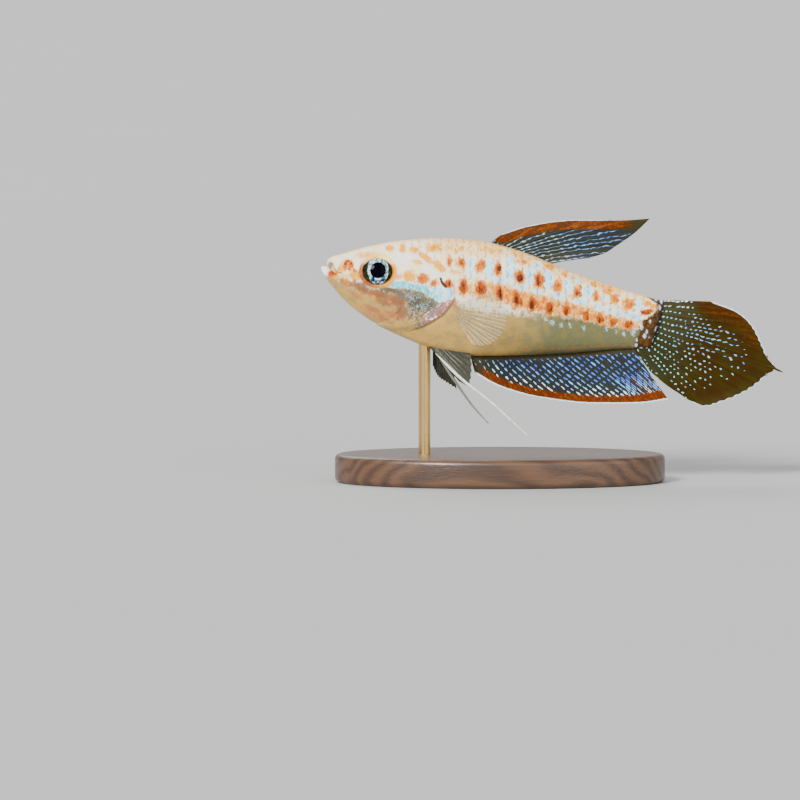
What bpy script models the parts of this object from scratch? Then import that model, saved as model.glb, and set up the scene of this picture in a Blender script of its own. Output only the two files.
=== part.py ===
"""A life-size sparkling gourami on a small display stand, nose up, head towards -X, left flank towards -Y.

The origin is the middle of the base's underside. Sizes are in millimetres, turned into metres by MM.
"""

import math

import bmesh
import bpy
import numpy as np

MM = 0.001
GAP = 0.3
OVERSHOOT = 4.0
SHORTEST_EDGE = 0.004
SLOPE_REACH = 0.05

# Stations along the body: x, height of the back, height of the belly, half width.
BODY_STATIONS = (
    (-14.95, 18.30, 17.45, 0.35),
    (-14.65, 18.85, 17.15, 0.72),
    (-14.30, 19.08, 16.72, 0.98),
    (-13.40, 19.36, 15.64, 1.42),
    (-11.40, 19.93, 14.00, 1.98),
    (-8.30, 20.49, 12.31, 2.40),
    (-5.10, 20.68, 11.16, 2.56),
    (-1.70, 20.44, 10.71, 2.50),
    (1.70, 19.58, 10.75, 2.28),
    (5.90, 17.88, 10.95, 1.80),
    (10.70, 16.23, 11.30, 1.08),
    (14.20, 15.20, 11.35, 0.62),
)
BODY_RINGS = 46
BODY_SIDES = 36
SECTION_FULLNESS = 0.88
SECTION_SHOULDER = 0.10
SNOUT_CROWDING = 1.25

# The seams between head, trunk and tail stalk, from above the back to below the belly.
HEAD_SEAM = (
    (-5.6, 22.0),
    (-4.5, 19.0),
    (-3.95, 17.4),
    (-3.9, 15.9),
    (-4.6, 14.6),
    (-6.2, 13.5),
    (-8.0, 12.6),
    (-9.2, 10.0),
)
STALK_SEAM = ((7.6, 22.0), (6.6, 8.0))
TAIL_SEAM = ((13.6, 19.0), (13.3, 15.6), (12.3, 11.3), (11.3, 7.2))

# The mouth's cleft rises from its corner to the lips, and the jaw's seam drops from the corner to the chin.
SNOUT_FRONT = -14.45
MOUTH_FRONT = (-16.0, 18.75)
MOUTH_LIP = (-14.65, 18.18)
MOUTH_CORNER = (-13.60, 17.62)
CHIN_SEAM_END = (-12.90, 14.0)
CLEFT_OPENING = 0.3
# Each lip runs from a corner of the mouth to the middle of the snout: x, distance to the side, z, radius.
UPPER_LIP = (
    (-13.62, 1.02, 17.98, 0.13),
    (-13.98, 0.88, 18.20, 0.20),
    (-14.27, 0.52, 18.45, 0.25),
    (-14.38, 0.0, 18.58, 0.27),
)
LOWER_LIP = (
    (-13.80, 0.98, 17.42, 0.12),
    (-14.35, 0.78, 17.66, 0.21),
    (-14.76, 0.44, 17.86, 0.28),
    (-14.90, 0.0, 17.96, 0.30),
)

NOSTRILS = ((-13.05, 18.62, 0.16), (-12.45, 18.72, 0.20))

EYE_X = -10.36
EYE_Z = 17.95
EYE_RADIUS = 1.30
EYE_DEPTH = 0.90
EYE_OUT = 1.42
ORBIT_RIM = 0.14

GILL_OUTLINE = (
    (-8.0, 16.75),
    (-6.4, 17.15),
    (-3.0, 17.30),
    (-2.8, 15.5),
    (-3.9, 13.6),
    (-6.2, 12.95),
    (-7.9, 13.55),
    (-8.6, 15.1),
)
GILL_THICKNESS = 0.8

# Each fin lists, for rays from front to back or top to bottom, a place along the root and the ray's tip.
DORSAL_ROOT = (-0.50, 4.55)
DORSAL_TIPS = (
    (0.00, 0.15, 21.00),
    (0.15, 2.50, 21.74),
    (0.32, 6.45, 22.24),
    (0.48, 12.70, 22.45),
    (0.62, 11.30, 21.28),
    (0.80, 9.60, 20.05),
    (1.00, 7.50, 19.00),
)
DORSAL_RAYS = 9
DORSAL_BOW = (-0.10, 0.22)
DORSAL_SWAY = 0.35
ANAL_ROOT = (-2.45, 11.55)
ANAL_TIPS = (
    (0.00, -2.10, 9.25),
    (0.10, -0.10, 8.15),
    (0.26, 3.40, 7.18),
    (0.50, 7.90, 6.70),
    (0.76, 11.80, 6.75),
    (1.00, 14.15, 7.05),
)
ANAL_RAYS = 24
ANAL_BOW = (-0.12, -0.06)
ANAL_SWAY = 0.28
ANAL_WAVES_PER_MM = 0.067
CAUDAL_TIPS = (
    (0.00, 18.00, 15.22),
    (0.12, 20.10, 14.30),
    (0.24, 21.35, 13.18),
    (0.37, 22.25, 11.60),
    (0.50, 22.75, 9.95),
    (0.61, 22.25, 8.55),
    (0.72, 20.60, 7.55),
    (0.82, 18.70, 6.75),
    (0.90, 17.30, 6.45),
    (0.96, 15.90, 6.85),
    (1.00, 14.30, 7.90),
)
CAUDAL_RAYS = 14
CAUDAL_SPACE = 0.33
CAUDAL_TURN = 0.9
CAUDAL_TUCK = (0.63, 0.30)
CAUDAL_DROP = 0.15
CAUDAL_LENGTH = 10.0
CAUDAL_SWAY = 0.5
CAUDAL_THREAD_RADII = (0.20, 0.25, 0.175, 0.075)
CAUDAL_FILAMENT = ((19.5, 11.35), (22.3, 10.10), (23.1, 9.60), (23.95, 9.30))
MEMBRANE = 0.5
RAY_HEIGHT = 0.12
RAY_SHARE = 0.42
TIP_THINNING = 0.35
FIN_STEPS = 7

PECTORAL_ROOT = (-3.70, 15.05, 13.95)
PECTORAL_REACH = 4.35
PECTORAL_FAN = (14.0, -66.0)
PECTORAL_RAYS = 10
PECTORAL_LIFT = 1.5
PECTORAL_SHORTENING = 0.35
PECTORAL_LONGEST = 0.45
FLANK_CLEARANCE = 1.15

# Pelvic fins: root front and back along the belly, root half spacing, ray tips, and the long first ray.
PELVIC_ROOT = (-5.70, -4.35)
PELVIC_SPACING = 0.75
PELVIC_ROUNDING = 0.94
PELVIC_CLEARANCE = 0.12
PELVIC_RAYS = 5
PELVIC_LEFT_TIPS = (
    (0.00, -3.45, 8.75),
    (0.40, -2.75, 8.60),
    (0.75, -2.45, 9.55),
    (1.00, -2.85, 10.10),
)
PELVIC_RIGHT_TIPS = (
    (0.00, -5.65, 9.90),
    (0.35, -5.20, 9.00),
    (0.70, -4.45, 8.45),
    (1.00, -3.75, 7.95),
)
PELVIC_LEFT_FILAMENT = ((-5.1, 10.55), (-3.4, 8.85), (-0.3, 6.35), (2.6, 3.70))
PELVIC_RIGHT_FILAMENT = ((-5.0, 10.2), (-3.75, 8.35), (-2.2, 6.15), (-0.4, 4.35))
PELVIC_SPLAY = 0.32
PELVIC_THREAD_RADII = (0.325, 0.30, 0.25, 0.075)

BASE_LENGTH = 28.0
BASE_WIDTH = 16.0
BASE_HEIGHT = 2.4
BASE_BEVEL = 0.45
ROD_X = -6.4
ROD_RADIUS = 0.5
ROD_SOCKET = 0.9

COLOURS = {
    "flesh": ((0.82, 0.62, 0.40), 0.35, 0.0),
    "gill": ((0.55, 0.72, 0.74), 0.25, 0.3),
    "fin": ((0.34, 0.17, 0.06), 0.40, 0.0),
    "clear_fin": ((0.70, 0.66, 0.50), 0.35, 0.0),
    "eye": ((0.45, 0.60, 0.66), 0.08, 0.2),
    "wood": ((0.05, 0.03, 0.02), 0.35, 0.0),
    "brass": ((0.80, 0.58, 0.28), 0.25, 1.0),
}


def clear_scene():
    """Removes whatever the scene held before."""
    for old in list(bpy.data.objects):
        bpy.data.objects.remove(old, do_unlink=True)


def new_collection(name):
    """A collection linked under the scene."""
    made = bpy.data.collections.new(name)
    bpy.context.scene.collection.children.link(made)
    return made


def material(name):
    """The named Principled material, made once."""
    found = bpy.data.materials.get(name)
    if found:
        return found
    colour, roughness, metallic = COLOURS[name]
    made = bpy.data.materials.new(name)
    made.use_nodes = True
    shader = made.node_tree.nodes["Principled BSDF"]
    shader.inputs["Base Color"].default_value = (*colour, 1.0)
    shader.inputs["Roughness"].default_value = roughness
    shader.inputs["Metallic"].default_value = metallic
    return made


def smooth_curve(xs, ys):
    """A smooth curve through the points that never swings past them (a monotone cubic)."""
    xs, ys = np.asarray(xs, float), np.asarray(ys, float)
    steps = np.diff(xs)
    slopes = np.diff(ys) / steps
    tangents = np.empty_like(ys)
    tangents[0], tangents[-1] = slopes[0], slopes[-1]
    before, after = slopes[:-1], slopes[1:]
    same_way = before * after > 0
    weight_a, weight_b = 2 * steps[1:] + steps[:-1], steps[1:] + 2 * steps[:-1]
    safe_before = np.where(same_way, before, 1.0)
    safe_after = np.where(same_way, after, 1.0)
    mean = (weight_a + weight_b) / (weight_a / safe_before + weight_b / safe_after)
    tangents[1:-1] = np.where(same_way, mean, 0.0)

    def at(x):
        x = np.asarray(x, float)
        i = np.clip(np.searchsorted(xs, x) - 1, 0, len(steps) - 1)
        t = (x - xs[i]) / steps[i]
        start = (2 * t**3 - 3 * t**2 + 1) * ys[i] + (t**3 - 2 * t**2 + t) * steps[i] * tangents[i]
        end = (3 * t**2 - 2 * t**3) * ys[i + 1] + (t**3 - t**2) * steps[i] * tangents[i + 1]
        return start + end

    return at


body_x, body_back, body_belly, body_half_width = zip(*BODY_STATIONS)
back = smooth_curve(body_x, body_back)
belly = smooth_curve(body_x, body_belly)
half_width = smooth_curve(body_x, body_half_width)


def slope(curve, x):
    """The curve's slope at x."""
    return (curve(x + SLOPE_REACH) - curve(x - SLOPE_REACH)) / (2 * SLOPE_REACH)


def clear_of(curve, x):
    """How far above or below a sloping profile a point lies that is GAP away from it."""
    return GAP * np.sqrt(1 + slope(curve, x) ** 2)


def flank(x, z):
    """The body's half width at x and height z."""
    middle, half = (back(x) + belly(x)) / 2, (back(x) - belly(x)) / 2
    up = np.clip((z - middle) / half, -1, 1)
    return half_width(x) * (1 - up**2) ** (SECTION_FULLNESS / 2) * (1 + SECTION_SHOULDER * up)


def add_mesh(name, points, faces, colour, collection):
    """A mesh object from points in millimetres, with its normals facing out."""
    mesh = bpy.data.meshes.new(name)
    mesh.from_pydata([tuple(p) for p in np.asarray(points) * MM], [], faces)
    tidy = bmesh.new()
    tidy.from_mesh(mesh)
    bmesh.ops.recalc_face_normals(tidy, faces=tidy.faces)
    tidy.to_mesh(mesh)
    tidy.free()
    mesh.materials.append(material(colour))
    made = bpy.data.objects.new(name, mesh)
    collection.objects.link(made)
    return made


def loft(name, rings, colour, collection):
    """A closed loft through rings of equal count, with a flat cap at each end."""
    count, sides = rings.shape[:2]
    ring, side = np.meshgrid(np.arange(count - 1), np.arange(sides), indexing="ij")
    here, there = ring * sides + side, ring * sides + (side + 1) % sides
    quads = np.stack([here, there, there + sides, here + sides], -1).reshape(-1, 4)
    caps = [list(range(sides)), list(range((count - 1) * sides, count * sides))]
    return add_mesh(name, rings.reshape(-1, 3), [*quads.tolist(), *caps], colour, collection)


def sheet(name, left, right, colour, collection):
    """A closed sheet between two grids of points, both split into triangles along the same diagonals."""
    rows, columns = left.shape[:2]
    count = rows * columns
    row, column = np.meshgrid(np.arange(rows - 1), np.arange(columns - 1), indexing="ij")
    a = (row * columns + column).ravel()
    b, c, d = a + 1, a + columns + 1, a + columns
    near = np.concatenate([np.stack([a, b, c], -1), np.stack([a, c, d], -1)])
    far = near[:, ::-1] + count
    rim = [
        *range(columns),
        *(r * columns + columns - 1 for r in range(1, rows)),
        *((rows - 1) * columns + k for k in range(columns - 2, -1, -1)),
        *(r * columns for r in range(rows - 2, 0, -1)),
    ]
    walls = []
    for here, there in zip(rim, rim[1:] + rim[:1]):
        walls += [(there, here, here + count), (there, here + count, there + count)]
    points = np.concatenate([left.reshape(-1, 3), right.reshape(-1, 3)])
    return add_mesh(name, points, [*near.tolist(), *far.tolist(), *walls], colour, collection)


def prism(name, outline, low, high, collection):
    """A cutter with the given outline in the XZ plane, running across from y = low to y = high."""
    curve = bpy.data.curves.new(name, "CURVE")
    curve.dimensions = "2D"
    curve.fill_mode = "BOTH"
    curve.extrude = (high - low) / 2 * MM
    spline = curve.splines.new("POLY")
    spline.points.add(len(outline) - 1)
    for point, (x, z) in zip(spline.points, outline):
        point.co = (x * MM, z * MM, 0, 1)
    spline.use_cyclic_u = True
    drawn = bpy.data.objects.new(name, curve)
    drawn.rotation_euler = (math.radians(90), 0, 0)
    drawn.location = (0, (low + high) / 2 * MM, 0)
    return as_mesh(drawn, collection)


def tube(name, path, radii, collection, sides_resolution=2, steps=5):
    """A round bar along a smooth path, with a radius for each of its points."""
    place = np.linspace(0, 1, len(path))
    along = np.linspace(0, 1, (len(path) - 1) * steps + 1)
    line = np.stack([smooth_curve(place, axis)(along) for axis in np.transpose(path)], -1)
    width = smooth_curve(place, radii)(along)
    curve = bpy.data.curves.new(name, "CURVE")
    curve.dimensions = "3D"
    curve.bevel_depth = MM
    curve.bevel_resolution = sides_resolution
    curve.use_fill_caps = True
    spline = curve.splines.new("POLY")
    spline.points.add(len(line) - 1)
    for point, place_on, radius in zip(spline.points, line, width):
        point.co = (*(place_on * MM), 1)
        point.radius = radius
    return as_mesh(bpy.data.objects.new(name, curve), collection)


def as_mesh(drawn, collection):
    """The curve object made a closed mesh object in the collection, in its place."""
    collection.objects.link(drawn)
    bpy.context.view_layer.update()
    graph = bpy.context.evaluated_depsgraph_get()
    mesh = bpy.data.meshes.new_from_object(drawn.evaluated_get(graph))
    weld = bmesh.new()
    weld.from_mesh(mesh)
    bmesh.ops.remove_doubles(weld, verts=weld.verts, dist=1e-6)
    bmesh.ops.transform(weld, matrix=drawn.matrix_world, verts=weld.verts)
    bmesh.ops.recalc_face_normals(weld, faces=weld.faces)
    weld.to_mesh(mesh)
    weld.free()
    name = drawn.name
    bpy.data.objects.remove(drawn, do_unlink=True)
    made = bpy.data.objects.new(name, mesh)
    collection.objects.link(made)
    return made


def ball(name, centre, radii, collection, segments=24, rings=12):
    """An ellipsoid from a primitive, with its poles along Y."""
    bpy.ops.mesh.primitive_uv_sphere_add(segments=segments, ring_count=rings, radius=1)
    made = bpy.context.active_object
    made.name = name
    made.rotation_euler = (math.radians(90), 0, 0)
    made.scale = (radii[0] * MM, radii[2] * MM, radii[1] * MM)
    made.location = [c * MM for c in centre]
    return placed(made, collection)


def placed(made, collection):
    """The object with its transform applied to its mesh, moved to the collection."""
    bpy.context.view_layer.update()
    made.data.transform(made.matrix_world)
    made.matrix_world.identity()
    made.rotation_euler, made.scale, made.location = (0, 0, 0), (1, 1, 1), (0, 0, 0)
    for old in list(made.users_collection):
        old.objects.unlink(made)
    collection.objects.link(made)
    return made


def boolean(target, others, operation):
    """Applies one Boolean between the target and a collection of the others, then removes these."""
    tools = bpy.data.collections.new("tools")
    bpy.context.scene.collection.children.link(tools)
    for other in others:
        for old in list(other.users_collection):
            old.objects.unlink(other)
        tools.objects.link(other)
    step = target.modifiers.new("boolean", "BOOLEAN")
    step.operation = operation
    step.operand_type = "COLLECTION"
    step.collection = tools
    bpy.context.view_layer.update()
    graph = bpy.context.evaluated_depsgraph_get()
    result = bpy.data.meshes.new_from_object(target.evaluated_get(graph))
    target.modifiers.clear()
    target.data = result
    for other in list(tools.objects):
        bpy.data.objects.remove(other, do_unlink=True)
    bpy.data.collections.remove(tools)
    keep_largest(target)
    return target


def without_tiny_edges(mesh):
    """The mesh with its tiny edges dissolved, or as it was where that would open it."""
    tidy = mesh.copy()
    bmesh.ops.dissolve_degenerate(tidy, dist=SHORTEST_EDGE * MM, edges=tidy.edges)
    bmesh.ops.triangulate(tidy, faces=tidy.faces)
    if all(edge.is_manifold for edge in tidy.edges):
        mesh.free()
        return tidy
    tidy.free()
    return mesh


def keep_largest(made):
    """Keeps the largest closed surface of a mesh, which drops scraps and sealed hollows."""
    mesh = bmesh.new()
    mesh.from_mesh(made.data)
    bmesh.ops.triangulate(mesh, faces=mesh.faces)
    mesh = without_tiny_edges(mesh)
    left, shells = set(mesh.verts), []
    while left:
        shell, edge = set(), [left.pop()]
        while edge:
            vertex = edge.pop()
            shell.add(vertex)
            near = {e.other_vert(vertex) for e in vertex.link_edges} & left
            left -= near
            edge.extend(near)
        shells.append(shell)
    largest = max(shells, key=shell_volume)
    extra = [v for v in mesh.verts if v not in largest]
    bmesh.ops.delete(mesh, geom=extra, context="VERTS")
    mesh.to_mesh(made.data)
    mesh.free()


def shell_volume(shell):
    """The volume that a closed triangle shell holds."""
    faces = {face for vertex in shell for face in vertex.link_faces}
    total = 0.0
    for face in faces:
        a, b, c = (v.co for v in face.verts)
        total += a.dot(b.cross(c))
    return total / 6


def finish(made):
    """Shades a part smooth where it is round."""
    made.data.shade_smooth()
    made.data.set_sharp_from_angle(angle=math.radians(40))


def whole_body(name, collection):
    """The whole fish without fins: a loft of egg-shaped sections, closer together at the snout."""
    first, last = BODY_STATIONS[0][0], BODY_STATIONS[-1][0]
    x = first + (last - first) * np.linspace(0, 1, BODY_RINGS) ** SNOUT_CROWDING
    turn = np.linspace(0, 2 * math.pi, BODY_SIDES, endpoint=False)
    up, out = np.cos(turn), np.sin(turn)
    middle, half = (back(x) + belly(x)) / 2, (back(x) - belly(x)) / 2
    z = middle[:, None] + half[:, None] * up
    bulge = np.sign(out) * np.abs(out) ** SECTION_FULLNESS * (1 + SECTION_SHOULDER * up)
    y = half_width(x)[:, None] * bulge
    rings = np.stack([np.broadcast_to(x[:, None], z.shape), y, z], -1)
    return loft(name, rings, "flesh", collection)


def line_points(points, shift=0.0, count=14):
    """A seam as a smooth line with heights falling, moved along X by shift."""
    x, z = np.transpose(points)
    heights = np.linspace(z[0], z[-1], count if len(points) > 2 else 2)
    across = smooth_curve(z[::-1], x[::-1])(heights)
    return [(a + shift, b) for a, b in zip(across, heights)]


def in_front(name, seam, collection, shift=0.0):
    """A cutter that holds everything in front of a seam."""
    line = line_points(seam, shift)
    wall = BODY_STATIONS[0][0] - OVERSHOOT
    outline = [(wall, line[0][1]), *line, (wall, line[-1][1])]
    return prism(name, outline, -OVERSHOOT, OVERSHOOT, collection)


def jaw_region(name, grow, collection):
    """A cutter that holds the lower jaw; grow moves its upper and rear faces outwards."""
    outline = (
        (MOUTH_FRONT[0], MOUTH_FRONT[1] + grow),
        (MOUTH_LIP[0], MOUTH_LIP[1] + grow),
        (MOUTH_CORNER[0] + grow, MOUTH_CORNER[1] + grow),
        (CHIN_SEAM_END[0] + grow, CHIN_SEAM_END[1]),
        (MOUTH_FRONT[0], CHIN_SEAM_END[1]),
    )
    return prism(name, outline, -OVERSHOOT, OVERSHOOT, collection)


def closed_spline(points, steps=5):
    """A smooth closed line through the points (Catmull-Rom)."""
    p = np.asarray(points, float)
    before, after, later = np.roll(p, 1, 0), np.roll(p, -1, 0), np.roll(p, -2, 0)
    t = np.linspace(0, 1, steps, endpoint=False)[None, :, None]
    p, before, after, later = (q[:, None, :] for q in (p, before, after, later))
    line = p + 0.5 * t * (after - before)
    line = line + t**2 * (before - 2.5 * p + 2 * after - 0.5 * later)
    line = line + t**3 * (1.5 * (p - after) + 0.5 * (later - before))
    return line.reshape(-1, 2)


def gill_plate_region(name, side, grow, collection):
    """A cutter round one gill cover, from GILL_THICKNESS under the cheek out past it."""
    line = closed_spline(GILL_OUTLINE)
    outward = line - line.mean(0)
    line = line + grow * outward / np.linalg.norm(outward, axis=1, keepdims=True)
    deep = half_width(GILL_OUTLINE[2][0]) - GILL_THICKNESS - grow
    low, high = sorted((side * deep, side * (deep + OVERSHOOT)))
    return prism(name, line, low, high, collection)


def eye_ball(name, side, grow, collection):
    """An eye, or its socket when grown, flattened across and facing sideways."""
    radii = (EYE_RADIUS + grow, EYE_DEPTH + grow, EYE_RADIUS + grow)
    return ball(name, (EYE_X, side * EYE_OUT, EYE_Z), radii, collection)


def orbit(name, side, collection):
    """The raised rim of skin round an eye, lying on the head's surface."""
    turn = np.linspace(0, 2 * math.pi, 29)
    reach = EYE_RADIUS + GAP + ORBIT_RIM / 2
    x, z = EYE_X + reach * np.cos(turn), EYE_Z + reach * np.sin(turn)
    y = side * flank(x, z)
    path = np.stack([x, y, z], -1)
    rings = []
    section = np.linspace(0, 2 * math.pi, 6, endpoint=False)
    for point, angle in zip(path[:-1], turn[:-1]):
        outward = np.array([math.cos(angle), 0, math.sin(angle)])
        across = np.array([0, 1.0, 0])
        ring = point + ORBIT_RIM * (np.cos(section)[:, None] * outward + np.sin(section)[:, None] * across)
        rings.append(ring)
    rings = np.array(rings)
    count, sides = rings.shape[:2]
    ring, corner = np.meshgrid(np.arange(count), np.arange(sides), indexing="ij")
    here, there = ring * sides + corner, ring * sides + (corner + 1) % sides
    onward = ((ring + 1) % count) * sides
    quads = np.stack([here, there, onward + (corner + 1) % sides, onward + corner], -1)
    return add_mesh(name, rings.reshape(-1, 3), quads.reshape(-1, 4).tolist(), "flesh", collection)


def lip(name, half, collection):
    """A lip: a roll that runs from one corner of the mouth round the snout to the other."""
    left = [(x, -y, z) for x, y, z, _ in half]
    right = [(x, y, z) for x, y, z, _ in half[-2::-1]]
    radii = [row[3] for row in (*half, *half[-2::-1])]
    return tube(name, [*left, *right], radii, collection, steps=3)


def build_head(parts, work):
    """Head, lower jaw, gill covers and eyes, cut from the whole body along their seams."""
    jaw = whole_body("lower_jaw", parts)
    boolean(jaw, [jaw_region("jaw", 0.0, work)], "INTERSECT")
    boolean(jaw, [lip("lower_lip", LOWER_LIP, work)], "UNION")
    boolean(jaw, [cleft("cleft_below", work)], "DIFFERENCE")
    finish(jaw)

    for side, word in ((-1, "left"), (1, "right")):
        cover = whole_body(f"gill_cover_{word}", parts)
        boolean(cover, [in_front("front", HEAD_SEAM, work)], "INTERSECT")
        boolean(cover, [gill_plate_region("plate", side, 0.0, work)], "INTERSECT")
        cover.data.materials.clear()
        cover.data.materials.append(material("gill"))
        finish(cover)
        eye = eye_ball(f"eye_{word}", side, 0.0, parts)
        eye.data.materials.append(material("eye"))
        finish(eye)

    head = whole_body("head", parts)
    boolean(head, [in_front("front", HEAD_SEAM, work)], "INTERSECT")
    boolean(head, [in_front("snout_end", ((SNOUT_FRONT, 22.0), (SNOUT_FRONT, 14.0)), work)], "DIFFERENCE")
    boolean(head, [orbit("orbit_l", -1, work), orbit("orbit_r", 1, work)], "UNION")
    cutters = [eye_ball("socket_l", -1, GAP, work), eye_ball("socket_r", 1, GAP, work)]
    cutters += [gill_plate_region("bed_l", -1, GAP, work), gill_plate_region("bed_r", 1, GAP, work)]
    boolean(head, cutters, "DIFFERENCE")
    boolean(head, [jaw_region("jaw_gap", CLEFT_OPENING, work)], "DIFFERENCE")
    boolean(head, [lip("upper_lip", UPPER_LIP, work)], "UNION")
    pits = []
    for x, z, radius in NOSTRILS:
        for side in (-1, 1):
            centre = (x, side * flank(x, z), z)
            pits.append(ball("nostril", centre, (radius,) * 3, work, segments=10, rings=6))
    boolean(head, pits, "DIFFERENCE")
    finish(head)


def cleft(name, collection):
    """The mouth's opening, which trims the lower lip to stay clear of the upper one."""
    outline = (
        (MOUTH_FRONT[0], MOUTH_FRONT[1]),
        (MOUTH_LIP[0], MOUTH_LIP[1]),
        (MOUTH_CORNER[0], MOUTH_CORNER[1]),
        (MOUTH_CORNER[0] + GAP, MOUTH_CORNER[1] + OVERSHOOT),
        (MOUTH_FRONT[0], MOUTH_FRONT[1] + OVERSHOOT),
    )
    return prism(name, outline, -OVERSHOOT, OVERSHOOT, collection)


def rod_socket(name, grow, low, high, collection):
    """A round bar on the rod's axis, grown in radius."""
    path = [(ROD_X, 0, low), (ROD_X, 0, (low + high) / 2), (ROD_X, 0, high)]
    return tube(name, path, [ROD_RADIUS + grow] * 3, collection, sides_resolution=6, steps=1)


def build_trunk(parts, work):
    """Trunk and tail stalk, cut from the whole body between the seams."""
    trunk = whole_body("trunk", parts)
    boolean(trunk, [in_front("behind", STALK_SEAM, work)], "INTERSECT")
    low = belly(ROD_X)
    cutters = [in_front("head_side", HEAD_SEAM, work, GAP)]
    cutters += [rod_socket("belly_hole", GAP, low - OVERSHOOT, low + ROD_SOCKET + GAP, work)]
    boolean(trunk, cutters, "DIFFERENCE")
    finish(trunk)
    stalk = whole_body("tail_stalk", parts)
    boolean(stalk, [in_front("tail_end", TAIL_SEAM, work)], "INTERSECT")
    boolean(stalk, [in_front("trunk_side", STALK_SEAM, work, GAP)], "DIFFERENCE")
    finish(stalk)


def ray_columns(rays):
    """Places across a fin and the ridge height there, 0 to 1: each ray is a ridge with a foot on both sides."""
    pitch = 1 / (rays - 1 + RAY_SHARE)
    places, heights = [], []
    for ray in range(rays):
        middle = (ray + RAY_SHARE / 2) * pitch
        reach = RAY_SHARE / 2 * pitch
        places += [middle - reach, middle, middle + reach]
        heights += [0.0, 1.0, 0.0]
    return np.array(places), np.array(heights)


def fin_grid(root, tip, rays, bow=(0.0, 0.0)):
    """Points of a fin's mid sheet in the XZ plane, rows from root to tip, columns across the rays.

    Each ray runs from root(s) to tip(s) and is bent sideways by the bow, most at its middle.
    """
    places, heights = ray_columns(rays)
    along = np.linspace(0, 1, FIN_STEPS + 1)[:, None]
    start, end = np.array(root(places)), np.array(tip(places))
    length = np.hypot(*(end - start))
    bend = 4 * along * (1 - along) * length / length.max()
    x = start[0] * (1 - along) + end[0] * along + bow[0] * bend
    z = start[1] * (1 - along) + end[1] * along + bow[1] * bend
    return x, z, along, heights[None, :]


def fin_thickness(along, heights):
    """Half thickness: the membrane thins to its edge and each ray stands up as a ridge."""
    thin = 1 - TIP_THINNING * along
    return (MEMBRANE / 2 + RAY_HEIGHT * heights) * thin


def tip_curve(table):
    """The fin's outer edge as a function of the place along its root."""
    s, x, z = zip(*table)
    across, height = smooth_curve(s, x), smooth_curve(s, z)
    return lambda place: (across(place), height(place))


def upright_fin(name, root, table, rays, sway, collection, bow=(0.0, 0.0)):
    """A fin on the fish's middle plane, swaying gently sideways; its rays bow by up to the given (x, z)."""
    x, z, along, heights = fin_grid(root, tip_curve(table), rays, bow)
    half = fin_thickness(along, heights)
    middle = sway(along, x)
    left = np.stack([x, middle - half, z], -1)
    right = np.stack([x, middle + half, z], -1)
    return sheet(name, left, right, "fin", collection)


def dorsal_sway(along, x):
    """How far the dorsal fin leans sideways: more towards its edge."""
    return DORSAL_SWAY * along**2 + 0 * x


def anal_sway(along, x):
    """How far the anal fin waves sideways: more towards its edge, in a wave that runs along the fin."""
    return ANAL_SWAY * along * np.sin(2 * math.pi * ANAL_WAVES_PER_MM * x)


def caudal_sway(along, x):
    """How far the tail fin bends sideways: with the square of the distance behind the tail stalk."""
    return CAUDAL_SWAY * (np.maximum(x - TAIL_SEAM[2][0], 0) / CAUDAL_LENGTH) ** 2 + 0 * along


def dorsal_root(s):
    """The dorsal fin's root, GAP above the back."""
    x = DORSAL_ROOT[0] + (DORSAL_ROOT[1] - DORSAL_ROOT[0]) * s
    return x, back(x) + clear_of(back, x)


def anal_root(s):
    """The anal fin's root, GAP below the belly."""
    x = ANAL_ROOT[0] + (ANAL_ROOT[1] - ANAL_ROOT[0]) * s
    return x, belly(x) - clear_of(belly, x)


def caudal_root(s):
    """The tail fin's root, behind the tail stalk's end, with its last rays tucked under the stalk's corner."""
    top, corner = TAIL_SEAM[1], TAIL_SEAM[2]
    down = np.minimum(s / CAUDAL_TURN, 1)
    under = np.maximum(s - CAUDAL_TURN, 0) / (1 - CAUDAL_TURN)
    x = top[0] + (corner[0] - top[0]) * down + CAUDAL_SPACE - CAUDAL_TUCK[0] * under
    z = top[1] - CAUDAL_DROP + (corner[1] - top[1]) * down - CAUDAL_TUCK[1] * under
    return x, z


def build_middle_fins(parts, work):
    """Dorsal, anal and tail fins."""
    finish(upright_fin("dorsal_fin", dorsal_root, DORSAL_TIPS, DORSAL_RAYS, dorsal_sway, parts, DORSAL_BOW))
    finish(upright_fin("anal_fin", anal_root, ANAL_TIPS, ANAL_RAYS, anal_sway, parts, ANAL_BOW))
    tail = upright_fin("caudal_fin", caudal_root, CAUDAL_TIPS, CAUDAL_RAYS, caudal_sway, parts)
    path = [(x, caudal_sway(1, x), z) for x, z in CAUDAL_FILAMENT]
    boolean(tail, [tube("tail_thread", path, CAUDAL_THREAD_RADII, work, steps=3)], "UNION")
    finish(tail)


def build_pectoral(side, word, parts):
    """A pectoral fin: a fan of rays that leaves the flank behind the gill cover and lifts away from it."""
    places, heights = ray_columns(PECTORAL_RAYS)
    along = np.linspace(0, 1, FIN_STEPS + 1)[:, None]
    root_z = PECTORAL_ROOT[1] + (PECTORAL_ROOT[2] - PECTORAL_ROOT[1]) * places
    angle = np.radians(PECTORAL_FAN[0] + (PECTORAL_FAN[1] - PECTORAL_FAN[0]) * places)
    reach = PECTORAL_REACH * (1 - PECTORAL_SHORTENING * (2 * (places - PECTORAL_LONGEST)) ** 2)
    x = PECTORAL_ROOT[0] + along * reach * np.cos(angle)
    z = root_z + along * reach * np.sin(angle)
    half = fin_thickness(along, heights[None, :])
    clear = flank(x, z) + GAP * FLANK_CLEARANCE + MEMBRANE / 2 + RAY_HEIGHT + PECTORAL_LIFT * along
    left = np.stack([x, side * (clear + half), z], -1)
    right = np.stack([x, side * (clear - half), z], -1)
    finish(sheet(f"pectoral_fin_{word}", left, right, "clear_fin", parts))


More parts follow.
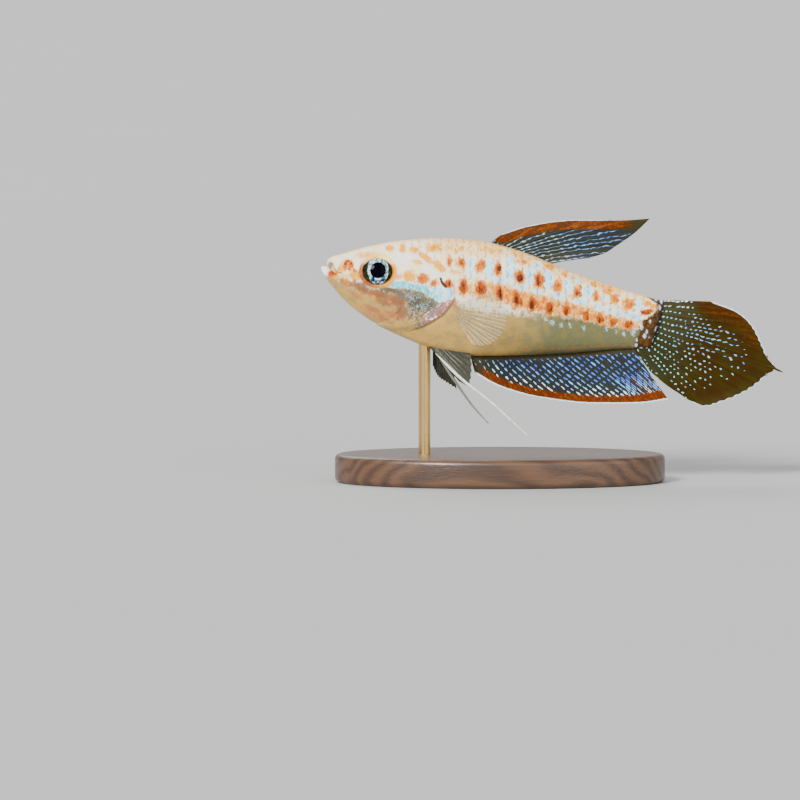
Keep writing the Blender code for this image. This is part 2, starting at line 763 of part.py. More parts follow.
def pelvic_root(s):
    """The pelvic fins' roots, GAP below the belly."""
    x = PELVIC_ROOT[0] + (PELVIC_ROOT[1] - PELVIC_ROOT[0]) * s
    low = (back(x) + belly(x)) / 2 - (back(x) - belly(x)) / 2 * PELVIC_ROUNDING
    return x, low - clear_of(belly, x) - PELVIC_CLEARANCE


def build_pelvic(side, word, table, filament, parts, work):
    """A pelvic fin: a small web of rays, and the first ray drawn out into a long feeler."""
    x, z, along, heights = fin_grid(pelvic_root, tip_curve(table), PELVIC_RAYS)
    half = fin_thickness(along, heights)
    top = pelvic_root(0.5)[1]
    middle = side * (PELVIC_SPACING + PELVIC_SPLAY * (top - z))
    left = np.stack([x, middle - half, z], -1)
    right = np.stack([x, middle + half, z], -1)
    fin = sheet(f"pelvic_fin_{word}", left, right, "clear_fin", parts)
    path = [(a, side * (PELVIC_SPACING + PELVIC_SPLAY * (top - b)), b) for a, b in filament]
    boolean(fin, [tube("feeler", path, PELVIC_THREAD_RADII, work, steps=6)], "UNION")
    finish(fin)


def build_stand(parts, work):
    """The stand: an oval base and one rod, sunk in the base and in the belly."""
    bpy.ops.mesh.primitive_cylinder_add(vertices=48, radius=0.5, depth=1)
    base = bpy.context.active_object
    base.name = "stand_base"
    base.scale = (BASE_LENGTH * MM, BASE_WIDTH * MM, BASE_HEIGHT * MM)
    base.location = (0, 0, BASE_HEIGHT / 2 * MM)
    placed(base, parts)
    base.data.materials.append(material("wood"))
    edge = base.modifiers.new("rounded edge", "BEVEL")
    edge.width = BASE_BEVEL * MM
    edge.segments = 2
    edge.limit_method = "ANGLE"
    hole = rod_socket("base_hole", GAP, BASE_HEIGHT - ROD_SOCKET, BASE_HEIGHT + OVERSHOOT, work)
    boolean(base, [hole], "DIFFERENCE")
    finish(base)

    top = belly(ROD_X) + ROD_SOCKET
    rod = rod_socket("stand_rod", 0.0, BASE_HEIGHT - ROD_SOCKET + GAP, top, parts)
    rod.data.materials.append(material("brass"))
    finish(rod)


def main():
    """Builds every part."""
    clear_scene()
    parts = new_collection("sparkling_gourami")
    work = new_collection("work")
    build_head(parts, work)
    build_trunk(parts, work)
    build_middle_fins(parts, work)
    for side, word in ((-1, "left"), (1, "right")):
        build_pectoral(side, word, parts)
    build_pelvic(-1, "left", PELVIC_LEFT_TIPS, PELVIC_LEFT_FILAMENT, parts, work)
    build_pelvic(1, "right", PELVIC_RIGHT_TIPS, PELVIC_RIGHT_FILAMENT, parts, work)
    build_stand(parts, work)
    bpy.data.collections.remove(work)


main()
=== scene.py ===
"""Dresses the sparkling gourami model: skin, scales, eyes, fins, display stand, light and camera.

Sizes are in millimetres, head towards -X, left flank towards -Y, up +Z, in the frame of the solids.
They become metres when a mesh is made. A turn of 0 is the back, pi / 2 the right flank, pi the belly.
"""

import logging
import math
from dataclasses import dataclass, field
from enum import Enum
from typing import NamedTuple, Sequence, Union

import bpy
import numpy as np
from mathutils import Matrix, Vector


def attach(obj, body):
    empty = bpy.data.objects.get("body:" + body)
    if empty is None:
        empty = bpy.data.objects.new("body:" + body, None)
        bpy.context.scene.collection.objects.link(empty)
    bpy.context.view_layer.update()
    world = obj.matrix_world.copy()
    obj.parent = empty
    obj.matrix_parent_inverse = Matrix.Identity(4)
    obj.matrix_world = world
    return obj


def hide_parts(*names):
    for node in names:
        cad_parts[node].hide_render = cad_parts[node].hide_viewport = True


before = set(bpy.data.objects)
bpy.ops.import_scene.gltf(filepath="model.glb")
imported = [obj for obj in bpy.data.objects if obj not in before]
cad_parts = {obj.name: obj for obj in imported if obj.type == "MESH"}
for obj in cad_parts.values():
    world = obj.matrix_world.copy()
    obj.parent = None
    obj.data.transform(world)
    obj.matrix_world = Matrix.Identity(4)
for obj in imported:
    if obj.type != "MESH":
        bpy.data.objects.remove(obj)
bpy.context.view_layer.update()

LOG = logging.getLogger("gourami")
MM = 0.001
BODY_NAME = "root"
SEED = 5
LINE_STEPS = 60
MARGIN_STEPS = 160
THREAD_SIDES = 12

Array = np.ndarray
Number = Union[float, Array]
Pair = tuple[Array, Array]
Material = bpy.types.Material
Piece = bpy.types.Object


class Slot(Enum):
    """The material slots."""

    SKIN = "skin"
    EYE = "eye"
    SPOTTED_FIN = "spotted_fin"
    CLEAR_FIN = "clear_fin"
    WOOD = "stand_wood"
    BRASS = "stand_brass"


class Side(Enum):
    """A flank of the fish, with the sign of its Y."""

    LEFT = -1
    RIGHT = 1


def rise(low: Number, high: Number, value: Number) -> Array:
    """A soft step: 0 below low, 1 above high, 3t^2 - 2t^3 between.

    Args:
        low: where the step starts.
        high: where it ends; below low for a falling step.
        value: the places asked for.

    Returns:
        The step's height at each place.
    """
    t = np.clip((np.asarray(value, float) - low) / (np.asarray(high, float) - low), 0, 1)
    return t * t * (3 - 2 * t)


def hump(distance: Number, reach: float) -> Array:
    """A bell, exp(-(distance / reach)^2)."""
    return np.exp(-((np.asarray(distance, float) / reach) ** 2))


def between(ends: tuple, share: Array) -> Array:
    """The number at a share of the way from the first end to the second."""
    return ends[0] + (ends[1] - ends[0]) * share


def nearest(points: Array, x: Array, z: Array) -> Array:
    """The distance from each place to the nearest of some points."""
    return np.minimum.reduce([np.hypot(x - a, z - b) for a, b in points])


class SmoothCurve:
    """A curve through points that never swings past them.

    It is a cubic between each two points. Its slope at a point is the weighted harmonic mean of the
    slopes on both sides, or level where these differ in sign.
    """

    def __init__(self, xs: Sequence[float], ys: Sequence[float]) -> None:
        """Works out the slopes.

        Args:
            xs: rising places.
            ys: the value at each.
        """
        self.xs, self.ys = np.asarray(xs, float), np.asarray(ys, float)
        self.steps = np.diff(self.xs)
        slopes = np.diff(self.ys) / self.steps
        before, after = slopes[:-1], slopes[1:]
        same_way = before * after > 0
        weight_a = 2 * self.steps[1:] + self.steps[:-1]
        weight_b = self.steps[1:] + 2 * self.steps[:-1]
        safe_before = np.where(same_way, before, 1.0)
        safe_after = np.where(same_way, after, 1.0)
        mean = (weight_a + weight_b) / (weight_a / safe_before + weight_b / safe_after)
        inner = np.where(same_way, mean, 0.0)
        self.tangents = np.concatenate([slopes[:1], inner, slopes[-1:]])

    def __call__(self, x: Number) -> Array:
        """The curve's value at x.

        Args:
            x: places.

        Returns:
            The value at each.
        """
        x = np.asarray(x, float)
        i = np.clip(np.searchsorted(self.xs, x) - 1, 0, len(self.steps) - 1)
        t, step = (x - self.xs[i]) / self.steps[i], self.steps[i]
        start = (2 * t**3 - 3 * t**2 + 1) * self.ys[i] + (t**3 - 2 * t**2 + t) * step * self.tangents[i]
        end = (3 * t**2 - 2 * t**3) * self.ys[i + 1] + (t**3 - t**2) * step * self.tangents[i + 1]
        return start + end

    def slope(self, x: Number) -> Array:
        """The curve's slope at x, over a short reach."""
        reach = 0.05
        return (self(x + reach) - self(x - reach)) / (2 * reach)


def smooth_line(points: Sequence[Sequence[float]], count: int) -> Array:
    """A smooth line through points, each coordinate a SmoothCurve of the place along.

    Args:
        points: the points, of any number of coordinates.
        count: how many points to return.

    Returns:
        An array of count points.
    """
    place = np.linspace(0, 1, len(points))
    along = np.linspace(0, 1, count)
    return np.stack([SmoothCurve(place, axis)(along) for axis in np.transpose(points)], -1)


@dataclass
class Surface:
    """A mesh as whole arrays.

    Points are in millimetres. Numbers hold one value a point under each name, and flat holds a flat
    map, one (u, v) a point, under each name.
    """

    points: Array
    faces: list
    numbers: dict = field(default_factory=dict)
    flat: dict = field(default_factory=dict)

    def volume(self) -> float:
        """The signed volume: a fan of triangles over each face, each a . (b x c) / 6.

        Returns:
            Cubic millimetres, above 0 where faces point outwards.
        """
        total = 0.0
        for corners in (3, 4):
            same = np.array([f for f in self.faces if len(f) == corners])
            for k in range(1, corners - 1):
                if len(same):
                    a, b, c = (self.points[same[:, i]] for i in (0, k, k + 1))
                    total += float(np.einsum("ij,ij->", a, np.cross(b, c))) / 6
        return total

    def piece(self, name: str, slot: Slot, material: Material) -> Piece:
        """Makes the object, faces outwards, riding on the body.

        Args:
            name: the object's name.
            slot: the slot for its finish; not used.
            material: its material.

        Returns:
            The new object, at the origin.
        """
        faces = self.faces if self.volume() > 0 else [f[::-1] for f in self.faces]
        mesh = bpy.data.meshes.new(name)
        mesh.from_pydata((self.points * MM).tolist(), [], faces)
        for key, values in self.numbers.items():
            store = mesh.attributes.new(key, "FLOAT", "POINT")
            store.data.foreach_set("value", np.asarray(values, np.float32).ravel())
        corner = np.empty(len(mesh.loops), np.int32)
        mesh.loops.foreach_get("vertex_index", corner)
        for key, values in self.flat.items():
            layer = mesh.uv_layers.new(name=key)
            layer.data.foreach_set("uv", np.asarray(values, np.float32)[corner].ravel())
        mesh.shade_smooth()
        mesh.materials.append(material)
        made = bpy.data.objects.new(name, mesh)
        bpy.context.scene.collection.objects.link(made)
        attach(made, BODY_NAME)
        LOG.info("%s: %d faces", name, len(faces))
        return made


def ring_faces(rows: int, columns: int) -> list:
    """Four-sided faces between rings of points, closed round, and zipped shut at both ends.

    Args:
        rows: the number of rings.
        columns: the number of points on each, an even number; the ring is folded flat about its first.

    Returns:
        The faces as lists of indices.
    """
    row, column = np.meshgrid(np.arange(rows - 1), np.arange(columns), indexing="ij")
    here, there = row * columns + column, row * columns + (column + 1) % columns
    quads = np.stack([here, there, there + columns, here + columns], -1).reshape(-1, 4)
    faces = quads.tolist()
    across = np.arange(1, columns // 2 - 1)
    for start, step in ((0, 1), ((rows - 1) * columns, -1)):
        web = np.stack([across, columns - across, columns - across - 1, across + 1], -1) + start
        half = columns // 2
        tips = np.array([[0, columns - 1, 1], [half - 1, half + 1, half]]) + start
        faces += web[:, ::step].tolist() + tips[:, ::step].tolist()
    return faces


def sheet_faces(rows: int, columns: int) -> Array:
    """Faces of a closed sheet: a near grid, a far grid after it, and a wall round the rim.

    Args:
        rows: rows of each grid.
        columns: columns of each grid.

    Returns:
        An array of four indices a face.
    """
    count = rows * columns
    row, column = np.meshgrid(np.arange(rows - 1), np.arange(columns - 1), indexing="ij")
    a = (row * columns + column).ravel()
    near = np.stack([a, a + 1, a + columns + 1, a + columns], -1)
    index = np.arange(count).reshape(rows, columns)
    rim = np.concatenate([index[0, :-1], index[:-1, -1], index[-1, :0:-1], index[:0:-1, 0]])
    onward = np.roll(rim, -1)
    wall = np.stack([onward, rim, rim + count, onward + count], -1)
    return np.concatenate([near, near[:, ::-1] + count, wall])


def sheet(near: Array, far: Array, numbers: dict) -> Surface:
    """A closed thin sheet between two grids of points.

    Args:
        near: rows by columns by 3.
        far: the other face, alike.
        numbers: named grids, one number a point of one face.

    Returns:
        The surface.
    """
    rows, columns = near.shape[:2]
    points = np.concatenate([near.reshape(-1, 3), far.reshape(-1, 3)])
    twice = {key: np.tile(np.broadcast_to(v, (rows, columns)).ravel(), 2) for key, v in numbers.items()}
    return Surface(points, sheet_faces(rows, columns).tolist(), twice)


def tube(path: Array, radii: Array, sides: int, flatness: float = 1.0) -> Surface:
    """A round bar along a path in which no stretch runs straight across the fish.

    Each ring is path + radius (cos a n + flatness sin a y), with n square to the path and to Y.

    Args:
        path: points along the middle.
        radii: a radius for each.
        sides: points on each ring, even.
        flatness: its thickness across Y as a share of that in the XZ plane.

    Returns:
        The surface, with its place along it, 0 to 1, as the number along.
    """
    tangent = np.gradient(path, axis=0)
    side = np.array([0.0, 1.0, 0.0])
    out = np.cross(tangent, side)
    out /= np.linalg.norm(out, axis=1, keepdims=True)
    across = np.cross(tangent, out)
    across /= np.linalg.norm(across, axis=1, keepdims=True)
    angle = np.linspace(0, 2 * math.pi, sides, endpoint=False)[None, :, None]
    rings = np.cos(angle) * out[:, None] + flatness * np.sin(angle) * across[:, None]
    points = path[:, None] + np.asarray(radii)[:, None, None] * rings
    along = np.repeat(np.linspace(0, 1, len(path)), sides)
    return Surface(points.reshape(-1, 3), ring_faces(len(path), sides), {"along": along})


def joined(parts: Sequence[Surface]) -> Surface:
    """One surface of several that have the same named numbers.

    Args:
        parts: the surfaces.

    Returns:
        All of them as one.
    """
    starts = np.cumsum([0, *(len(p.points) for p in parts[:-1])])
    faces = [[i + int(s) for i in f] for s, p in zip(starts, parts) for f in p.faces]
    points = np.concatenate([p.points for p in parts])
    numbers = {k: np.concatenate([p.numbers[k] for p in parts]) for k in parts[0].numbers}
    return Surface(points, faces, numbers)


class Value:
    """A shader socket that Python's operators work on; each operation adds its Math node."""

    def __init__(self, tree: "Tree", socket: bpy.types.NodeSocket) -> None:
        """Wraps a socket of a tree."""
        self.tree, self.socket = tree, socket

    def __add__(self, other: "Operand") -> "Value":
        """The sum."""
        return self.tree.math("ADD", self, other)

    def __sub__(self, other: "Operand") -> "Value":
        """The difference."""
        return self.tree.math("SUBTRACT", self, other)

    def __rsub__(self, other: "Operand") -> "Value":
        """A number less this."""
        return self.tree.math("SUBTRACT", other, self)

    def __mul__(self, other: "Operand") -> "Value":
        """The product."""
        return self.tree.math("MULTIPLY", self, other)

    def __truediv__(self, other: "Operand") -> "Value":
        """The quotient."""
        return self.tree.math("DIVIDE", self, other)

    __radd__ = __add__
    __rmul__ = __mul__


Operand = Union[Value, float]
Colour = tuple[float, float, float]


class Tree:
    """A material's node tree, with a few words for the nodes that the finishes use."""

    def __init__(self, name: str) -> None:
        """Makes an empty node material.

        Args:
            name: the material's name.
        """
        self.material = bpy.data.materials.new(name)
        self.material.use_nodes = True
        self.tree = self.material.node_tree
        self.tree.nodes.clear()

    def node(self, kind: str, inputs: dict, **settings: object) -> bpy.types.Node:
        """Adds a node.

        Args:
            kind: the node's type, without its ShaderNode.
            inputs: socket name or index to a number, a colour or a Value.
            settings: its own properties, set first.

        Returns:
            The node.
        """
        made = self.tree.nodes.new("ShaderNode" + kind)
        for key, value in settings.items():
            setattr(made, key, value)
        for key, value in inputs.items():
            if isinstance(value, Value):
                self.tree.links.new(value.socket, made.inputs[key])
            elif isinstance(value, tuple) and len(made.inputs[key].default_value) == 4:
                made.inputs[key].default_value = (*value, 1.0)
            else:
                made.inputs[key].default_value = value
        return made

    def value(self, kind: str, output: Union[int, str], inputs: dict, **settings: object) -> Value:
        """Adds a node and wraps one of its outputs."""
        return Value(self, self.node(kind, inputs, **settings).outputs[output])

    def math(self, operation: str, *operands: Operand) -> Value:
        """One Math node on the operands."""
        return self.value("Math", 0, dict(enumerate(operands)), operation=operation)

    def vector(self, *numbers: Operand) -> Value:
        """A vector from three numbers."""
        return self.value("CombineXYZ", 0, dict(enumerate(numbers)))

    def number(self, name: str) -> Value:
        """The piece's own number of that name."""
        return self.value("Attribute", "Fac", {}, attribute_name=name)

    def place(self) -> Value:
        """Object coordinates in millimetres."""
        return self.shade(self.value("TexCoord", "Object", {}), 1 / MM)

    def split(self, vector: Value) -> tuple[Value, Value, Value]:
        """The three numbers of a vector."""
        return tuple(Value(self, out) for out in self.node("SeparateXYZ", {0: vector}).outputs)

    def noise(self, where: Value, scale: float, detail: float = 2.0, rough: float = 0.5) -> Value:
        """Smooth noise, 0 to 1, with scale waves a millimetre."""
        inputs = {"Vector": where, "Scale": scale, "Detail": detail, "Roughness": rough}
        return self.value("TexNoise", "Fac", inputs)

    def cells(self, where: Value, scale: float, jitter: float = 1.0) -> Value:
        """The distance to the nearest scattered point, in cells."""
        inputs = {"Vector": where, "Scale": scale, "Randomness": jitter}
        return self.value("TexVoronoi", "Distance", inputs)

    def chance(self, where: Value) -> Value:
        """A number, 0 to 1, that differs wildly from place to place."""
        return self.value("TexWhiteNoise", "Value", {"Vector": where}, noise_dimensions="3D")

    def step(self, value: Value, low: Operand, high: Operand) -> Value:
        """A soft step, 0 at low and 1 at high; falling where low is above high."""
        inputs = {"Value": value, "From Min": low, "From Max": high}
        return self.value("MapRange", "Result", inputs, interpolation_type="SMOOTHSTEP")

    def off_whole(self, value: Value) -> Value:
        """How far a number is from the nearest whole one."""
        return self.math("ABSOLUTE", value - self.math("ROUND", value))

    def torn(self, mark: Value, noise: Value, low: float, high: float) -> Value:
        """A mark cut between low and high once noise has torn its edge, where it's neither 0 nor 1."""
        return self.step(mark + noise * self.step(mark, 0.0, 0.12) * self.step(mark, 1.0, 0.9), low, high)

    def mix(self, share: Operand, first: Union[Value, Colour], second: Union[Value, Colour]) -> Value:
        """A colour between two."""
        return self.value("Mix", 2, {0: share, 6: first, 7: second}, data_type="RGBA", clamp_factor=True)

    def shade(self, colour: Union[Value, Colour], by: Operand) -> Value:
        """A colour made darker or lighter by a factor, or a vector scaled by it."""
        return self.value("VectorMath", 0, {0: colour, "Scale": by}, operation="SCALE")

    def bump(self, height: Value, depth: float) -> Value:
        """A normal from a height of 0 to 1 that stands for a depth in millimetres."""
        return self.value("Bump", "Normal", {"Height": height, "Strength": 1.0, "Distance": depth * MM})

    def finish(self, varying: dict, constant: dict) -> Material:
        """Ends the tree in a Principled shader.

        Args:
            varying: socket name to a Value.
            constant: socket name to a number or colour.

        Returns:
            The material.
        """
        shader = self.value("BsdfPrincipled", 0, {**constant, **varying})
        self.node("OutputMaterial", {"Surface": shader})
        return self.material


@dataclass
class Body:
    """The smooth fish under its skin's relief, in the solids' own sizes.

    stations: x, height of the back, height of the belly, half width.
    """

    stations: tuple = (
        (-14.95, 18.3, 17.45, 0.35),
        (-14.65, 18.85, 17.15, 0.72),
        (-14.3, 19.08, 16.72, 0.98),
        (-13.4, 19.36, 15.64, 1.42),
        (-11.4, 19.93, 14.0, 1.98),
        (-8.3, 20.49, 12.31, 2.4),
        (-5.1, 20.68, 11.16, 2.56),
        (-1.7, 20.44, 10.71, 2.5),
        (1.7, 19.58, 10.75, 2.28),
        (5.9, 17.88, 10.95, 1.8),
        (10.7, 16.23, 11.3, 1.08),
        (14.2, 15.2, 11.35, 0.62),
    )
    fullness: float = 0.88
    shoulder: float = 0.1
    gap: float = 0.3
    tail_seam: tuple = ((11.3, 7.2), (12.3, 11.3), (13.3, 15.6), (13.6, 19.0))
    head_seam: tuple = (
        (-9.2, 10.0), (-8.0, 12.6), (-6.2, 13.5), (-4.6, 14.6), (-3.9, 15.9), (-3.95, 17.4), (-4.5, 19.0),
        (-5.6, 22.0),
    )
    tail_x: float = 12.9
    lean_start: float = 8.0

    def __post_init__(self) -> None:
        """Turns the tables into curves."""
        x, back, belly, half_width = zip(*self.stations)
        self.back, self.belly = SmoothCurve(x, back), SmoothCurve(x, belly)
        self.half_width = SmoothCurve(x, half_width)
        across, height = zip(*self.tail_seam)
        self.tail_line = SmoothCurve(height, across)
        across, height = zip(*self.head_seam)
        self.head_line = SmoothCurve(height, across)

    def share_up(self, x: Array, z: Array) -> Array:
        """How far up a height is, 0 at the belly and 1 at the back."""
        return (z - self.belly(x)) / (self.back(x) - self.belly(x))

    def flank(self, x: Array, z: Array) -> Array:
        """The half width at x and height z, from the section's formula."""
        up = np.clip(2 * self.share_up(x, z) - 1, -1, 1)
        return self.half_width(x) * (1 - up**2) ** (self.fullness / 2) * (1 + self.shoulder * up)

    def place(self, x: Array, turn: Array) -> Array:
        """Points on the body.

        The height is middle + half cos(turn) and the width half width |sin(turn)|^0.88 (1 + 0.1
        cos(turn)). Sections stand upright, and lean with the tail's seam towards its end.

        Args:
            x: the section's place.
            turn: the angle round it.

        Returns:
            An array of points, with a last axis of 3.
        """
        x, turn = np.broadcast_arrays(np.asarray(x, float), np.asarray(turn, float))
        up, out = np.cos(turn), np.sin(turn)
        upright = self.height(x, up)
        x = x + rise(self.lean_start, self.tail_x, x) * (self.tail_line(upright) - self.tail_x)
        bulge = np.sign(out) * np.abs(out) ** self.fullness * (1 + self.shoulder * up)
        return np.stack([x, self.half_width(x) * bulge, self.height(x, up)], -1)

    def height(self, x: Array, up: Array) -> Array:
        """The height of a section's point, up being -1 at the belly and 1 at the back."""
        back, belly = self.back(x), self.belly(x)
        return (back + belly) / 2 + (back - belly) / 2 * up

    def normal(self, x: Array, turn: Array) -> Array:
        """The outward unit normal: the cross product of the steps along and round the body.

        Args:
            x: the section's place.
            turn: the angle round it.

        Returns:
            A vector for each point.
        """
        step = 0.02
        along = self.place(x + step, turn) - self.place(x - step, turn)
        round_it = self.place(x, turn + step) - self.place(x, turn - step)
        out = np.cross(along, round_it)
        return out / np.linalg.norm(out, axis=-1, keepdims=True)

    def clear_of(self, curve: SmoothCurve, x: Array) -> Array:
        """How far above or below a sloping profile a point lies that is one gap away from it."""
        return self.gap * np.sqrt(1 + curve.slope(x) ** 2)


BODY = Body()


@dataclass
class Orbit:
    """The eye's opening, an oval wider than tall, and the ring of skin round it, on both sides."""

    x: float = -10.33
    z: float = 17.93
    flatness: float = 1.18
    opening: float = 1.25
    ring: float = 1.42
    outer: float = 1.66
    raised: float = 0.12
    depth: float = 0.8

    def radius(self, x: Array, z: Array) -> Array:
        """The distance from the opening's middle, counted larger upwards and downwards."""
        return np.hypot(x - self.x, (z - self.z) * self.flatness)

    def bowl(self, x: Array, z: Array) -> Array:
        """How deep the skin lies under the eye."""
        return self.depth * rise(self.opening + 0.03, self.opening - 0.1, self.radius(x, z))

    def rim(self, x: Array, z: Array) -> Array:
        """How high the ring stands."""
        r, edge = self.radius(x, z), self.opening
        return self.raised * rise(self.outer + 0.12, self.ring, r) * rise(edge - 0.05, edge + 0.06, r)


ORBIT = Orbit()


@dataclass(frozen=True)
class Blot:
    """A soft oval mark: its middle, half sizes, tilt in degrees from X towards Z, and strength."""

    x: float
    z: float
    wide: float
    tall: float
    tilt: float = 0.0
    strength: float = 1.0

    def at(self, x: Array, z: Array) -> Array:
        """Its strength at each place: exp(-d^3), d being 1 on the oval's edge.

        Args:
            x: places along the fish.
            z: heights.

        Returns:
            A number for each.
        """
        lean = math.radians(self.tilt)
        right, up = x - self.x, z - self.z
        along = (right * math.cos(lean) + up * math.sin(lean)) / self.wide
        across = (up * math.cos(lean) - right * math.sin(lean)) / self.tall
        return self.strength * np.exp(-(np.hypot(along, across) ** 3))


@dataclass(frozen=True)
class Streak:
    """A soft band along a smooth line, exp(-(distance / reach)^2)."""

    points: tuple
    reach: float
    strength: float = 1.0

    def at(self, x: Array, z: Array) -> Array:
        """Its strength at each place, from the nearest of its line's points."""
        return self.strength * hump(nearest(smooth_line(self.points, LINE_STEPS), x, z), self.reach)


@dataclass(frozen=True)
class Field:
    """The area between a lower and an upper line of heights, with soft edges and ends."""

    low: tuple
    high: tuple
    edge: float = 0.12
    strength: float = 1.0

    def at(self, x: Array, z: Array) -> Array:
        """Its strength at each place.

        Args:
            x: places along the fish.
            z: heights.

        Returns:
            A number for each.
        """
        bottom, top = SmoothCurve(*zip(*self.low)), SmoothCurve(*zip(*self.high))
        start, end, soft = self.low[0][0], self.low[-1][0], self.edge
        inside = rise(-soft, soft, z - bottom(x)) * rise(soft, -soft, z - top(x))
        return self.strength * inside * rise(start - soft, start + soft, x) * rise(end + soft, end - soft, x)


Mark = Union[Blot, Streak, Field]


@dataclass
class HeadRelief:
    """What stands up or lies deep in the head's skin: nostrils, jaw and cheek bones, gill covers."""

    nostrils: tuple = ((-13.1, 18.55, 0.13), (-12.55, 18.62, 0.15))
    pit: float = 0.16
    nostril_lip: float = 0.05
    gill_slit: float = 0.06
    cover_height: float = 0.14
    cover_fade: float = 2.6
    cover_low: float = 12.7
    cover_high: float = 17.25
    groove: float = 0.05
    grooves: tuple = (
        Streak(((-10.6, 13.4), (-9.0, 14.1), (-8.2, 15.1), (-8.05, 16.5), (-8.5, 17.7)), 0.11),
        Streak(((-7.4, 13.55), (-6.6, 14.0), (-5.5, 14.75), (-4.2, 15.6)), 0.09),
        Streak(((-14.25, 18.62), (-14.04, 18.14), (-13.8, 17.84), (-13.45, 17.7)), 0.09),
    )

    def behind_cover(self, x: Array, z: Array) -> Array:
        """The distance behind the gill cover's rear edge; below 0 on the cover."""
        line = BODY.head_line
        return (x - line(z)) / np.sqrt(1 + line.slope(z) ** 2)

    def height(self, x: Array, z: Array) -> Array:
        """The relief outwards.

        Args:
            x: places along the fish.
            z: heights.

        Returns:
            Millimetres above the smooth body.
        """
        total = ORBIT.rim(x, z)
        for a, b, radius in self.nostrils:
            r = np.hypot(x - a, z - b)
            lip = self.nostril_lip * hump(r - radius * 1.25, 0.08)
            total = total - self.pit * rise(radius, radius * 0.35, r) + lip
        behind = self.behind_cover(x, z)
        upright = rise(self.cover_low, self.cover_low + 0.8, z)
        upright = upright * rise(self.cover_high + 0.25, self.cover_high - 0.1, z)
        cover = rise(-self.cover_fade, -0.1, behind) * rise(0.06, -0.04, behind)
        total = total + self.cover_height * cover * upright
        total = total - self.gill_slit * hump(behind - 0.1, 0.1) * upright
        for line in self.grooves:
            total = total - self.groove * line.at(x, z)
        return total


RELIEF = HeadRelief()


